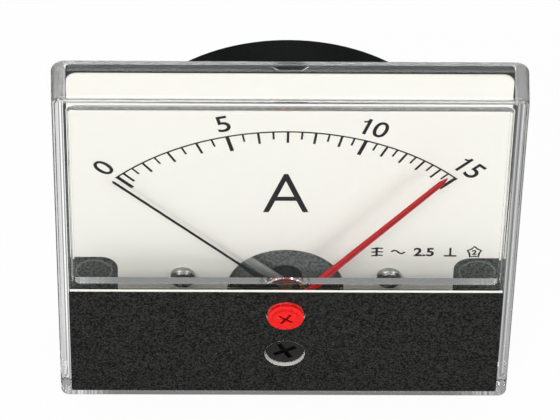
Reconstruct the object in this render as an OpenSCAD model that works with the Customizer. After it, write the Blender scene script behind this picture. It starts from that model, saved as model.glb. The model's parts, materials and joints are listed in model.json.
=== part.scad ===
// Square panel ammeter for alternating current, with a settable red marker hand.
// The front faces -Y, the panel plane is y = 0 and Z is up. The origin is the centre of the
// square front, on the panel plane, which is also where the barrel's axis meets it.

/* [Front cover] */
// Side of the square front
face = 80; // [76:1:90]
// How far the rim stands in front of the panel
cover_d = 8.8; // [8.8:0.1:12]
// How much further out each side wall stands at the back than at the rim
cover_draft = 0.3; // [0.1:0.05:0.5]
// Radius of the four outer corners, at the rim
corner_r = 1.5; // [1:0.1:4]
// Radius of the four outer corners, at the back
corner_back_r = 2.4; // [1:0.1:4]
// Radius of the cover's four inner corners
cover_inner_r = 0.5; // [0.3:0.1:1.5]
// Thickness of the cover's four side walls
cover_wall = 1.9; // [1.4:0.1:2.4]
// Thickness of the cover's front wall under the mask
front_wall = 1.6; // [1.4:0.1:1.8]
// How far the window pane is raised above the rim
pane_rise = 0.6; // [0.2:0.1:0.8]
// Thickness of the window pane
pane_t = 1.3; // [1:0.1:1.5]
// Distance from the outer side edges to the raised window pane
pane_margin = 2.6; // [2:0.1:4]
// Distance from the outer upper edge to the raised window pane
pane_top_margin = 1.9; // [1.6:0.1:4]
// Width of the thicker frame around the pane
pane_frame = 0.5; // [0.3:0.1:1]
// Rise of the sloped step under the pane, on the inside
pane_slope = 0.7; // [0.3:0.1:1]
// Radius of the window pane's corners
pane_corner_r = 0.8; // [0.4:0.1:2]
// Width of the snap nibs that hold the cover, at the back
nib_w = 6.6; // [5.5:0.1:10]
// Width of the snap nibs at the front
nib_front_w = 4; // [3:0.1:5]
// How far a snap nib reaches into the flange's slot
nib_reach = 0.9; // [0.6:0.1:1.2]
// Width of the snap nibs' flat tips, in front of their ramps
nib_tip = 0.3; // [0.2:0.05:0.5]

/* [Mask] */
// Distance from the outer edge to the black mask
mask_margin = 1.9; // [1.2:0.1:3]
// Thickness of the black mask
mask_t = 0.2; // [0.2:0.1:0.5]
// Height of the mask's top edge above the pointer's axis
mask_over = 6.2; // [5:0.1:9]
// Gap between the mask's top edge and the raised pane
mask_gap = 1.6; // [0.1:0.05:3]

/* [Rear case] */
// Thickness of the flange behind the dial
flange_t = 1.6; // [1.4:0.1:2]
// Radius of the flange's corners
flange_corner_r = 1.2; // [1:0.1:4]
// Outer diameter of the round barrel
barrel_d = 60; // [60:0.5:66]
// Length of the barrel behind the panel
barrel_l = 14; // [14:0.5:24]
// Thickness of the barrel's wall
barrel_wall = 1.3; // [1.2:0.1:1.8]
// Thickness of the barrel's floor
floor_t = 1.8; // [1.6:0.1:3]
// Diameter of the small bosses seen beside the dial
boss_d = 6; // [5.5:0.5:7]
// Height of those bosses
boss_h = 0.4; // [0.2:0.1:0.8]

/* [Mounting studs] */
// Diameter of the four mounting studs
stud_d = 3; // [2.5:0.5:3.5]
// Length of a mounting stud behind the panel
stud_l = 16; // [10:1:22]
// Distance from the flange's side edge to a mounting stud
stud_inset = 3.95; // [3.5:0.05:4.5]
// Height of the upper studs above the barrel's axis, and of the lower ones below it
stud_z = 11.6; // [11:0.1:13]
// Diameter of the collar that anchors a stud in the flange
stud_collar_d = 4.6; // [4.2:0.1:5]
// Depth of that collar in the flange
stud_collar_t = 1.2; // [0.8:0.1:1.2]

/* [Dial] */
// Thickness of the dial plate
dial_t = 0.4; // [0.3:0.1:0.6]
// Gap between the dial's edge and the cover
dial_gap = 0.3; // [0.2:0.1:1]
// Radius of the dial's upper corners
dial_corner_r = 1.9; // [0.5:0.1:3]
// Radius of the round opening over the movement
dial_hole_r = 10.3; // [9:0.1:12]
// Gap between the top of a flange boss and the dial's notch
notch_top_gap = 0.2; // [0.1:0.1:1]
// Gap between the side of a flange boss and the dial's notch
notch_side_gap = 1.4; // [0.8:0.1:2]
// Radius of the notch's inner corner
notch_r = 3; // [1:0.1:4]
// Distance of the dial's lower edge below the pointer's axis
dial_below = 4; // [3.8:0.1:5]
// Distance of a dial screw from the pointer's axis, sideways
dial_screw_x = 18.2; // [17:0.1:19.5]
// Height of the dial screws above the pointer's axis
dial_screw_z = 3.4; // [1:0.1:4]
// Diameter of a dial screw's head
dial_screw_head_d = 4.3; // [3.5:0.1:5]
// Height of a dial screw's head
dial_screw_head_h = 1.2; // [0.8:0.1:1.4]
// Diameter of a dial screw's thread
dial_screw_d = 2; // [1.6:0.1:2.5]
// Length of a dial screw's thread
dial_screw_l = 6; // [4:0.5:8]
// Wall of the bosses that the dial screws go into
dial_boss_wall = 1.6; // [1.2:0.1:1.8]

/* [Pointer] */
// Angle of the resting pointer from upright
rest_angle = -45; // [-50:1:-40]
// Distance of the pointer in front of the dial
pointer_lift = 1.5; // [1.4:0.1:1.6]
// Length of the pointer from its axis
pointer_l = 42.8; // [36:0.1:46]
// Width of the needle
needle_w = 0.4; // [0.3:0.05:0.8]
// Thickness of the pointer's sheet
pointer_t = 0.25; // [0.2:0.05:0.35]
// Radius at which the tapered root ends and the needle begins
root_l = 12; // [8:0.5:16]
// Half the width of the pointer's root at the hub
root_half_w = 1.2; // [0.8:0.1:1.5]
// Length of the two balance arms and the tail
arm_l = 6; // [5.5:0.1:8]
// Width of the balance arms
arm_w = 0.8; // [0.6:0.1:1]
// Diameter of a balance weight
weight_d = 1.4; // [1.2:0.1:1.5]
// Length of a balance weight
weight_l = 1.2; // [0.8:0.1:1.4]
// Diameter of the pointer's spindle
spindle_d = 0.9; // [0.7:0.1:1.1]
// Length of each pointed end of the spindle
spindle_tip = 0.6; // [0.4:0.1:0.7]
// Diameter of the pointer's hub flange
hub_d = 3.2; // [2.8:0.1:3.6]
// Length of the pointer's hub
hub_l = 0.8; // [0.7:0.1:0.9]
// Diameter of the hub's spigot, which holds the pointer's eye
hub_spigot_d = 2; // [1.8:0.1:2.2]
// Wall of the collars by which the vane and the moving iron sit on the spindle
collar_wall = 0.7; // [0.5:0.1:0.9]

/* [Hairspring] */
// Number of turns of the hairspring
spring_turns = 4; // [3:1:5]
// Height of the hairspring's strip
spring_h = 0.3; // [0.2:0.05:0.35]
// Thickness of the hairspring's strip
spring_strip = 0.14; // [0.1:0.01:0.16]
// Wall of the hub's collet, which holds the spring's inner end
collet_wall = 0.35; // [0.25:0.05:0.4]
// Diameter of the stud that holds the spring's outer end
spring_stud_d = 0.6; // [0.4:0.1:0.7]
// Distance of that stud from the pointer's axis
spring_stud_r = 3.5; // [3.2:0.1:3.7]

/* [Red marker hand] */
// Angle of the red hand from upright
set_angle = 37.8; // [-45:0.1:45]
// Length of the red hand from its axis
set_l = 44.3; // [36:0.1:46]
// Width of the red hand at its eye
set_root_w = 1.4; // [1:0.1:2]
// Width of the red hand near its tip
set_tip_w = 1; // [0.6:0.1:1.4]
// Length of the red hand's pointed tip
set_point_l = 1.6; // [0.8:0.1:3]
// Thickness of the red hand
set_t = 0.4; // [0.3:0.05:0.45]
// Diameter of the red hand's eye
set_eye_d = 5.2; // [4:0.1:6]
// Diameter of the red screw's head
set_head_d = 6.4; // [5:0.1:7]
// How far the red screw's head stands in front of the mask
set_proud = 1.1; // [0.6:0.1:1.6]
// How deep the red screw's head sits in the cover
set_sunk = 0.8; // [0.6:0.1:0.9]
// Diameter of the red screw's thin end, which carries the hand
set_stub_d = 2; // [1.6:0.1:2.4]
// Height of the domed top of the red screw
set_dome_h = 0.4; // [0.2:0.1:0.5]

/* [Zero adjuster] */
// Distance of the zero screw below the pointer's axis
zero_below = 10.8; // [10.4:0.1:11.2]
// Diameter of the zero screw's head
zero_head_d = 6.6; // [5.6:0.1:7]
// Thickness of the zero screw's head
zero_head_t = 1; // [0.9:0.1:1.1]
// How far the zero screw lies below the mask's surface
zero_recess = 0.6; // [0.4:0.1:0.7]
// Thickness of the cover under the zero screw's head
zero_seat_t = 1; // [0.8:0.1:1.1]
// Distance of the eccentric pin from the zero screw's axis
zero_throw = 0.9; // [0.6:0.05:0.95]
// Diameter of the eccentric pin
zero_pin_d = 1; // [0.8:0.1:1.1]
// Width of the zero lever
lever_w = 1.6; // [1.2:0.1:2]
// Thickness of the zero lever
lever_t = 0.3; // [0.2:0.05:0.35]
// Diameter of the zero lever's eye
lever_eye_d = 4; // [3.4:0.1:4.4]

/* [Adjuster screws] */
// Diameter of both adjuster screws' shafts
shaft_d = 3; // [2.8:0.1:3.4]
// Width of the cross recess in the red screw
set_cross_w = 0.5; // [0.4:0.05:1]
// Length of the cross recess in the red screw
set_cross_l = 3; // [2.4:0.1:4]
// Width of the cross recess in the zero screw
zero_cross_w = 0.9; // [0.6:0.05:1.2]
// Length of the cross recess in the zero screw
zero_cross_l = 4.4; // [3:0.1:4.6]
// Depth of both cross recesses
cross_depth = 0.7; // [0.4:0.1:0.8]
// Thickness of the push-on rings that hold the screws in
ring_t = 0.35; // [0.25:0.05:0.4]
// Diameter of the push-on rings
ring_d = 4.8; // [4.2:0.1:5.4]

/* [Movement] */
// Thickness of the movement's base plate
plate_t = 1; // [0.8:0.1:1.2]
// How far the plate's round part stays inside the bobbin's rim
plate_inset = 1; // [0.5:0.1:2]
// Distance of the plate's two ears below the pointer's axis
ear_drop = 3; // [2:0.1:4]
// Gap between the bobbin and the head of a plate screw
ear_gap = 0.7; // [0.4:0.1:1]
// Rim of the plate around the head of a plate screw
ear_rim = 0.6; // [0.4:0.1:0.9]
// Floor that is left behind the plate screws
plate_screw_floor = 0.4; // [0.3:0.1:0.8]
// Length of the coil bobbin
bobbin_l = 7.4; // [6:0.1:7.6]
// Radius of the bobbin's flanges
bobbin_r = 10.5; // [9.5:0.1:10.7]
// Gap between the bobbin's rim and the barrel's wall
bobbin_gap = 1.6; // [1.4:0.1:2.4]
// Thickness of the bobbin's flanges
bobbin_flange_t = 0.8; // [0.6:0.1:1]
// Radius of the bobbin's bore
bobbin_bore_r = 5.6; // [5.4:0.1:6]
// Thickness of the bobbin's tube
bobbin_tube_t = 0.6; // [0.5:0.1:0.8]
// Distance from the winding's surface to the flange's rim
winding_inset = 0.7; // [0.4:0.1:1.5]
// Thickness of both irons
iron_t = 0.5; // [0.3:0.05:0.6]
// Angle that the fixed iron covers
fixed_iron_angle = 110; // [60:5:140]
// Angle that the moving iron covers
moving_iron_angle = 50; // [30:5:80]
// Mean radius of the moving iron
moving_iron_r = 3.8; // [3.2:0.1:4]
// Outer radius of the damping box
box_r = 15; // [13:0.1:16]
// Inner radius of the damping box, where it is open
box_inner_r = 5.5; // [5:0.1:7]
// Depth of the damping box without its lid
box_d = 2.6; // [2.4:0.1:2.8]
// Wall of the damping box and thickness of its lid
box_wall = 0.6; // [0.4:0.1:0.7]
// Inner radius of the damping box's lid
lid_inner_r = 3; // [2.6:0.1:5]
// Half of the angle that the lid covers
lid_half_angle = 95; // [80:1:100]
// How far the damping box reaches past the resting vane, as an angle
box_past_angle = 13; // [11:1:16]
// Thickness of the damping vane
vane_t = 0.3; // [0.2:0.05:0.5]
// Width of the vane's arm, which lies behind the dial in line with the pointer
vane_arm_w = 1.8; // [1.2:0.1:2.2]
// Length of the vane's arm from the pointer's axis
vane_arm_l = 12; // [11:0.5:14]
// Diameter of a bridge post
post_d = 2.5; // [2:0.1:2.6]
// Rim of the plate and of the bridge around a post
post_rim = 0.7; // [0.4:0.1:0.9]
// Gap between that rim and the barrel's wall
post_wall_gap = 0.4; // [0.3:0.05:0.6]
// Gap between a post and the bobbin's rim
post_bobbin_gap = 0.15; // [0.1:0.05:0.4]
// Thickness of the front bridge
bridge_t = 0.7; // [0.6:0.05:0.75]
// Width of the bridge's arms
bridge_w = 3; // [2.5:0.1:4]
// Diameter of the small screws of the movement
small_screw_d = 1.4; // [1.2:0.1:1.6]
// Diameter of their heads
small_head_d = 3.2; // [2.6:0.1:3.4]
// Height of their heads
small_head_h = 0.4; // [0.3:0.05:0.45]
// How far a bridge screw reaches into its post
bridge_screw_grip = 3; // [2:0.5:5]
// Diameter of the front jewel screw
jewel_d = 1.6; // [1.5:0.1:1.8]
// Diameter of the rear jewel screw
jewel_back_d = 2.4; // [2:0.1:2.6]
// Depth of the cup in a jewel screw
cup_depth = 0.4; // [0.3:0.05:0.45]
// Play of the spindle's tips in their cups
cup_play = 0.1; // [0.05:0.01:0.12]

/* [Terminals] */
// Diameter of the two terminal studs
term_d = 5; // [4:0.5:6]
// Length of a terminal stud behind the barrel's floor
term_l = 16; // [14:1:24]
// Distance of a terminal stud from the middle, sideways
term_x = 16; // [15.5:0.1:17]
// Height of the terminal studs above the barrel's axis
term_z = -2; // [-3:0.1:1]
// Thickness of a terminal stud's head
term_head_t = 2; // [1.5:0.1:3]
// Diameter of a terminal stud's head
term_head_d = 8; // [7:0.5:8.5]
// Thickness of a washer
washer_t = 1; // [0.6:0.1:1.5]
// Outer diameter of a washer
washer_d = 10; // [9:0.5:12]
// Height of a terminal nut
nut_h = 4; // [3:0.1:5]
// Size of a terminal nut across its flats
nut_flats = 8; // [7:0.5:10]
// Thickness of a terminal lug
lug_t = 0.8; // [0.6:0.1:1]
// Gap between the bobbin's rim and the end of a lug's tail
lug_gap = 2; // [1.5:0.1:3]
// Diameter of the coil's leads
lead_d = 1.6; // [1:0.1:2]

/* [Clearances] */
// Gap between the flange and the cover
flange_fit = 0.15; // [0.05:0.05:0.3]
// Radial gap of a turning shaft in its hole
turn_fit = 0.1; // [0.05:0.01:0.2]
// Radial gap of a screw, stud or nut in its hole
screw_fit = 0.1; // [0.05:0.01:0.2]
// Radial gap between an adjuster's head and its hole
head_gap = 0.3; // [0.2:0.05:0.5]
// Radial gap of a piece that is pressed on its shaft
press_fit = 0.02; // [0.01:0.01:0.05]
// Axial gap between moving pieces that lie behind each other
play = 0.12; // [0.1:0.01:0.15]
// Gap between the eccentric pin and each side of the lever's fork
fork_gap = 0.2; // [0.15:0.01:0.3]
// Gap between a part that swings and the wall it swings along
swing_gap = 0.35; // [0.25:0.05:0.5]

/* [Hidden] */
$fn = 64;
// How far a cutting shape runs past the face it cuts
over = 1;
// How far the cross recesses are turned at rest
set_cross_turn = 35;
zero_cross_turn = 61;
dial_cross_turn = 20;
// Directions of the balance arms and the tail, from the needle
arm_turns = [90, 180, 270];
// Sides of a terminal nut
nut_sides = 6;
// Points on each turn of the hairspring
spring_steps = 24;

// Planes along Y, from the front to the back
y_rim = -cover_d;
y_pane = y_rim - pane_rise;
y_pane_back = y_pane + pane_t;
y_inner = y_rim + front_wall;
y_mask = y_rim - mask_t;
y_flange = -flange_t;
y_dial = y_flange - dial_t;
y_floor = barrel_l - floor_t;
y_plate = y_floor - plate_t;
y_bobbin = y_plate - bobbin_l;
y_box = y_bobbin - box_d;
y_lid = y_box - box_wall;

// Heights: the pointer's axis is where the bobbin fits into the barrel
barrel_r = barrel_d / 2;
barrel_bore_r = barrel_r - barrel_wall;
pivot_drop = barrel_bore_r - bobbin_gap - bobbin_r;
pivot_z = -pivot_drop;
zero_z = pivot_z - zero_below;
mask_top = pivot_z + mask_over;
mask_bottom = -face / 2 + mask_margin;
notch_top = -stud_z + boss_d / 2 + notch_top_gap;

// Half sizes across the front
cover_half = face / 2 - cover_wall;
flange_half = cover_half - flange_fit;
dial_half = cover_half - dial_gap;
pane_half = face / 2 - pane_margin;
pane_top = face / 2 - pane_top_margin;
pane_bottom = mask_top + mask_gap;
mask_half = face / 2 - mask_margin;
stud_x = flange_half - stud_inset;
notch_x = stud_x - boss_d / 2 - notch_side_gap;
dial_boss_r = dial_screw_d / 2 + dial_boss_wall;
nib_pocket = nib_reach - flange_fit + play;
y_nib = y_flange * 0.7;
y_nib_back = y_flange * 0.1;
dial_screw_sites = [for (side = [-1, 1]) [side * dial_screw_x, pivot_z + dial_screw_z]];

// Adjuster screws: seats in the cover and lengths
set_hole_r = set_head_d / 2 + head_gap;
zero_hole_r = zero_head_d / 2 + head_gap;
shaft_hole_r = shaft_d / 2 + turn_fit;
y_set_seat = y_mask + set_sunk;
y_zero_seat = y_mask + zero_recess + zero_head_t;
y_zero_boss = y_zero_seat + zero_seat_t;
zero_boss_r = zero_hole_r + cover_wall / 2;
y_set_hand = y_inner + swing_gap;
y_set_ring = y_set_hand + set_t;

// Pointer stack in front of the dial
y_pointer = y_dial - pointer_lift;
y_hub_front = y_pointer - hub_l / 2;
y_hub_seat = y_pointer + pointer_t / 2;
y_spring = y_hub_front - play - spring_h;
y_lever = y_spring - play - lever_t;
y_bridge = y_lever - play - bridge_t;
y_bridge_back = y_bridge + bridge_t;

// Bearings of the spindle
spindle_r = spindle_d / 2;
collar_r = spindle_r + collar_wall;
y_front_cup = y_lever + lever_t + play / 2;
y_front_tip = y_front_cup - cup_depth + cup_play;
y_rear_cup = y_plate - bobbin_flange_t + 2 * play;
y_rear_tip = y_rear_cup + cup_depth - cup_play;
cup_mouth_r = jewel_d * 0.4;

// Hairspring, wound from the hub's collet to the stud on the zero lever
collet_r = spindle_r + collet_wall;
spring_inner_r = collet_r + spring_strip / 2 + press_fit;
spring_outer_r = spring_stud_r - spring_stud_d / 2 - spring_strip / 2 - press_fit;
weight_at = spring_stud_r + spring_stud_d / 2 + swing_gap;

// Damping: half of the box's angle, and the front of the vane's arm
box_half_angle = box_past_angle - rest_angle;
y_vane_arm = y_flange + swing_gap;

// Coil and irons
tube_r = bobbin_bore_r + bobbin_tube_t;
winding_r = bobbin_r - winding_inset;
iron_l = bobbin_l - 2 * bobbin_flange_t;
y_iron = y_bobbin + bobbin_flange_t;

// Movement plate and its screws
plate_r = bobbin_r - plate_inset;
ear_reach = bobbin_r + small_head_d / 2 + ear_gap;
ear_z = pivot_z - ear_drop;
tongue_z = pivot_z + ear_reach;
ear_r = small_head_d / 2 + ear_rim;
plate_screw_sites = [[-ear_reach, ear_z], [ear_reach, ear_z], [0, tongue_z]];
plate_screw_depth = floor_t - plate_screw_floor;

// Bridge posts: each stands where a circle about the bobbin meets a circle inside the barrel
post_eye_r = post_d / 2 + post_rim;
post_from_pivot = bobbin_r + post_bobbin_gap + post_d / 2;
post_from_axis = barrel_bore_r - post_wall_gap - post_eye_r;
post_z = (pow(post_from_pivot, 2) - pow(post_from_axis, 2) - pow(pivot_drop, 2)) / (2 * pivot_drop);
post_x = sqrt(pow(post_from_axis, 2) - pow(post_z, 2));
post_below = pivot_z - post_z;
post_sites = [for (side = [-1, 1]) [side * post_x, post_z]];
bridge_eye_r = bridge_w * 0.75;

// Terminals: the tail of each lug runs from its stud towards the pointer's axis
term_sites = [for (side = [-1, 1]) [side * term_x, term_z]];
term_hole_r = term_d / 2 + screw_fit;
y_lug = y_floor - lug_t;
y_term_head = y_lug - term_head_t;
y_term_end = barrel_l + term_l;
lead_angle = atan2(term_x, term_z - pivot_z);
lead_reach = bobbin_r + lug_gap + lead_d;
lug_tail = norm([term_x, term_z - pivot_z]) - lead_reach;
y_lead = y_plate - bobbin_flange_t - lead_d;

// A flat shape drawn in X and Z, made solid from y0 to y1
module slab(y0, y1) {
    translate([0, y1, 0]) rotate([90, 0, 0]) linear_extrude(y1 - y0) children();
}

// A round bar along Y at the place at = [x, z]
module rod(r, y0, y1, at = [0, 0]) {
    translate([at.x, y1, at.y]) rotate([90, 0, 0]) cylinder(r = r, h = y1 - y0);
}

// A cone along Y, from radius r0 at y0 to radius r1 at y1
module cone(r0, r1, y0, y1, at = [0, 0]) {
    translate([at.x, y1, at.y]) rotate([90, 0, 0]) cylinder(r1 = r1, r2 = r0, h = y1 - y0);
}

// A piece turned about an axis along Y, from its outline's [radius, y] points, front to back
module turned(outline, at = [0, 0]) {
    front = [0, outline[0].y];
    back = [0, outline[len(outline) - 1].y];
    translate([at.x, 0, at.y]) rotate([-90, 0, 0]) rotate_extrude()
        polygon(concat([front], outline, [back]));
}

// A rectangle with round corners, from its lower left to its upper right corner
module round_rect(x0, z0, x1, z1, r) {
    translate([x0 + r, z0]) square([x1 - x0 - 2 * r, z1 - z0]);
    translate([x0, z0 + r]) square([x1 - x0, z1 - z0 - 2 * r]);
    for (x = [x0 + r, x1 - r], z = [z0 + r, z1 - r])
        translate([x, z]) circle(r);
}

// A square with round corners about the middle of the front
module round_square(half, r) {
    round_rect(-half, -half, half, half, r);
}

// A wedge that opens upward by half an angle on each side
module wedge(half_angle, reach) {
    side = 2 * reach * sin(half_angle);
    up = 2 * reach * cos(half_angle);
    polygon([[0, 0], [side, up], [side, 2 * reach], [-side, 2 * reach], [-side, up]]);
}

// A piece of a ring between two radii, about the upright
module ring_piece(r0, r1, half_angle) {
    intersection() {
        difference() {
            circle(r1);
            circle(r0);
        }
        wedge(half_angle, r1);
    }
}

// What turns about the pointer's axis, drawn upright about the origin
module at_pivot(angle = 0) {
    translate([0, 0, pivot_z]) rotate([0, angle, 0]) children();
}

// A cross recess sunk into a face at y0
module cross_recess(y0, width, length, depth, at = [0, 0], turn = 0) {
    translate([at.x, 0, at.y]) rotate([0, turn, 0]) slab(y0 - over, y0 + depth) {
        square([length, width], center = true);
        square([width, length], center = true);
    }
}

// A pan-head screw that points back, its head seated at y0
module pan_screw(y0, head_d, head_h, d, length, at) {
    brim_h = head_h * 0.6;
    crown_d = head_d * 0.72;
    recess_w = head_d * 0.16;
    recess_l = head_d * 0.62;
    difference() {
        turned([
            [crown_d / 2, y0 - head_h], [head_d / 2, y0 - brim_h], [head_d / 2, y0],
            [d / 2, y0], [d / 2, y0 + length]
        ], at);
        cross_recess(y0 - head_h, recess_w, recess_l, brim_h, at, dial_cross_turn);
    }
}

// A slotted screw of the movement that points back, its head seated at y0
module slotted_screw(y0, length, at) {
    head_r = small_head_d / 2;
    r = small_screw_d / 2;
    y_head = y0 - small_head_h;
    difference() {
        turned([[head_r, y_head], [head_r, y0], [r, y0], [r, y0 + length]], at);
        screw_slot(y_head, small_head_d, at);
    }
}

// The slot in the head of a small screw whose front face is at y0
module screw_slot(y0, head_d, at) {
    slot_w = small_head_d * 0.18;
    translate([at.x, 0, at.y]) slab(y0 - over, y0 + small_head_h / 2)
        square([head_d + over, slot_w], center = true);
}

module clear_cover() {
    color("lightcyan", 0.35) difference() {
        union() {
            difference() {
                union() {
                    cover_block();
                    slab(y_pane, y_inner) pane_outline(0);
                }
                slab(y_inner, over) round_square(cover_half, cover_inner_r);
                pane_pocket();
            }
            rod(zero_boss_r, y_rim, y_zero_boss, [0, zero_z]);
            for (flip = [0, 1])
                mirror([0, 0, flip]) snap_nib();
        }
        rod(set_hole_r, y_pane - over, y_set_seat, [0, pivot_z]);
        rod(shaft_hole_r, y_pane - over, over, [0, pivot_z]);
        rod(zero_hole_r, y_pane - over, y_zero_seat, [0, zero_z]);
        rod(shaft_hole_r, y_pane - over, over, [0, zero_z]);
    }
}

// The cover's outside, whose walls lean out towards the back so that it leaves its mould
module cover_block() {
    skin = cover_d / 100;
    hull() {
        slab(y_rim, y_rim + skin) round_square(face / 2, corner_r);
        slab(-skin, 0) round_square(face / 2 + cover_draft, corner_back_r);
    }
}

// The window pane's outline, drawn in by an inset
module pane_outline(inset) {
    side = pane_half - inset;
    round_rect(-side, pane_bottom + inset, side, pane_top - inset, pane_corner_r);
}

// The space behind the pane, whose lower side slopes up towards the back
module pane_pocket() {
    foot = pane_bottom + pane_frame;
    y_past = y_inner + over;
    rise = pane_slope * (y_past - y_pane_back) / (y_inner - y_pane_back);
    difference() {
        slab(y_pane_back, y_past) pane_outline(pane_frame);
        translate([-face / 2, 0, 0]) rotate([90, 0, 90]) linear_extrude(face) polygon([
            [y_pane_back - over, foot - over], [y_past + over, foot - over], [y_past + over, foot + rise],
            [y_past, foot + rise], [y_pane_back, foot], [y_pane_back - over, foot]
        ]);
    }
}

// The nib inside the upper wall: the flange's slot holds its wide back, and its ramp lets it slide in
module snap_nib() {
    tip = cover_half - nib_reach;
    root = cover_half + cover_wall / 2;
    intersection() {
        translate([0, 0, tip]) linear_extrude(root - tip) polygon([
            [-nib_front_w / 2, y_nib], [nib_front_w / 2, y_nib],
            [nib_w / 2, y_nib_back], [-nib_w / 2, y_nib_back]
        ]);
        translate([-nib_w / 2, 0, 0]) rotate([90, 0, 90]) linear_extrude(nib_w) polygon([
            [y_nib, tip], [y_nib + nib_tip, tip], [y_nib_back, cover_half], [y_nib_back, root], [y_nib, root]
        ]);
    }
}

module lower_mask() {
    color("#2a2b2a") difference() {
        slab(y_mask, y_rim) round_rect(-mask_half, mask_bottom, mask_half, mask_top, pane_corner_r / 2);
        rod(set_hole_r, y_mask - over, y_rim + over, [0, pivot_z]);
        rod(zero_hole_r, y_mask - over, y_rim + over, [0, zero_z]);
    }
}

module rear_case() {
    color("#17181b") difference() {
        union() {
            slab(y_flange, 0) round_square(flange_half, flange_corner_r);
            rod(barrel_r, -flange_t / 2, barrel_l);
            for (side = [-1, 1])
                rod(boss_d / 2, y_flange - boss_h, -flange_t / 2, [side * stud_x, -stud_z]);
        }
        difference() {
            rod(barrel_bore_r, y_flange - over, y_floor);
            for (site = dial_screw_sites)
                rod(dial_boss_r, y_flange, y_floor + over, site);
        }
        for (site = dial_screw_sites)
            rod(dial_screw_d / 2 + screw_fit, y_flange - over, y_flange + dial_screw_l + screw_fit, site);
        for (site = term_sites)
            rod(term_hole_r, y_floor - over, barrel_l + over, site);
        for (flip = [0, 1])
            mirror([0, 0, flip]) nib_slot();
        for (x = [-stud_x, stud_x], z = [-stud_z, stud_z])
            rod(stud_collar_d / 2 + press_fit, -stud_collar_t, over, [x, z]);
        hole_end = y_floor + plate_screw_depth + screw_fit;
        for (site = plate_screw_sites)
            rod(small_screw_d / 2 + screw_fit, y_floor - over, hole_end, site);
    }
}

// The slot in the flange's upper edge that a snap nib goes into
module nib_slot() {
    front = nib_front_w / 2 + play;
    back = nib_w / 2 + play;
    translate([0, 0, flange_half - nib_pocket]) linear_extrude(nib_pocket + over) polygon([
        [-front, y_nib - play], [front, y_nib - play], [back, y_nib_back],
        [back, over], [-back, over], [-back, y_nib_back]
    ]);
}

module mounting_studs() {
    chamfer = stud_d * 0.15;
    collar_r = stud_collar_d / 2;
    r = stud_d / 2;
    color("silver") for (x = [-stud_x, stud_x], z = [-stud_z, stud_z])
        turned([
            [collar_r, -stud_collar_t], [collar_r, 0], [r, 0], [r, stud_l - chamfer], [r - chamfer, stud_l]
        ], [x, z]);
}

module dial_plate() {
    color("#f4f3ea") difference() {
        slab(y_dial, y_flange) difference() {
            union() {
                round_rect(-dial_half, notch_top, dial_half, dial_half, dial_corner_r);
                translate([-dial_half, notch_top]) square([2 * dial_half, dial_corner_r]);
                tongue_top = notch_top + 2 * dial_corner_r;
                round_rect(-notch_x, pivot_z - dial_below, notch_x, tongue_top, dial_corner_r);
                for (side = [-1, 1])
                    notch_fillet(side);
            }
            translate([0, pivot_z]) circle(dial_hole_r);
        }
        for (site = dial_screw_sites)
            rod(dial_screw_d / 2 + screw_fit, y_dial - over, over, site);
    }
}

// The rounded inner corner of a dial notch
module notch_fillet(side) {
    difference() {
        translate([side > 0 ? notch_x : -notch_x - notch_r, notch_top - notch_r]) square(notch_r);
        translate([side * (notch_x + notch_r), notch_top - notch_r]) circle(notch_r);
    }
}

module dial_screws() {
    color("silver") for (site = dial_screw_sites)
        pan_screw(y_dial, dial_screw_head_d, dial_screw_head_h, dial_screw_d, dial_screw_l, site);
}

module movement_plate() {
    color("goldenrod") difference() {
        slab(y_plate, y_floor) {
            translate([0, pivot_z]) circle(plate_r);
            for (site = plate_screw_sites)
                translate(site) circle(ear_r);
            translate([-ear_reach, ear_z - ear_r]) square([2 * ear_reach, 2 * ear_r]);
            translate([-ear_r, pivot_z]) square([2 * ear_r, ear_reach]);
            for (site = post_sites)
                translate(site) circle(post_eye_r);
            translate([-post_x, post_z - post_eye_r]) square([2 * post_x, post_eye_r + post_below]);
        }
        for (site = plate_screw_sites)
            rod(small_screw_d / 2 + screw_fit, y_plate - over, y_floor + over, site);
        rod(jewel_back_d / 2 + press_fit, y_plate - over, y_floor + over, [0, pivot_z]);
    }
}

module plate_screws() {
    color("silver") for (site = plate_screw_sites)
        slotted_screw(y_plate, plate_t + plate_screw_depth, site);
}

module coil_bobbin() {
    color("#3a2a22") difference() {
        union() {
            rod(tube_r, y_bobbin, y_plate, [0, pivot_z]);
            rod(bobbin_r, y_bobbin, y_iron, [0, pivot_z]);
            rod(bobbin_r, y_plate - bobbin_flange_t, y_plate, [0, pivot_z]);
        }
        rod(bobbin_bore_r, y_bobbin - over, y_plate + over, [0, pivot_z]);
    }
}

module coil_winding() {
    color("#b86a35") difference() {
        rod(winding_r, y_iron, y_iron + iron_l, [0, pivot_z]);
        rod(tube_r, y_iron - over, y_iron + iron_l + over, [0, pivot_z]);
    }
}

module fixed_iron() {
    outer = bobbin_bore_r - press_fit;
    color("slategray") at_pivot(rest_angle)
        slab(y_iron, y_iron + iron_l) ring_piece(outer - iron_t, outer, fixed_iron_angle / 2);
}

module damping_box() {
    color("#4a4f50") at_pivot() difference() {
        slab(y_box, y_bobbin) ring_piece(box_inner_r, box_r, box_half_angle);
        slab(y_box - over, y_bobbin - box_wall) box_chamber();
    }
}

// The space in the damping box that the vane sweeps through
module box_chamber() {
    wall_angle = asin(box_wall / box_inner_r);
    intersection() {
        circle(box_r - box_wall);
        wedge(box_half_angle - wall_angle, box_r);
    }
}

module damping_lid() {
    color("#5a6062") at_pivot()
        slab(y_lid, y_box) ring_piece(lid_inner_r, box_r, lid_half_angle);
}

module bridge_posts() {
    hole_end = y_bridge_back + bridge_screw_grip + screw_fit;
    color("goldenrod") for (site = post_sites)
        difference() {
            rod(post_d / 2, y_bridge_back, y_plate, site);
            rod(small_screw_d / 2 + screw_fit, y_bridge_back - over, hole_end, site);
        }
}

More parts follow.
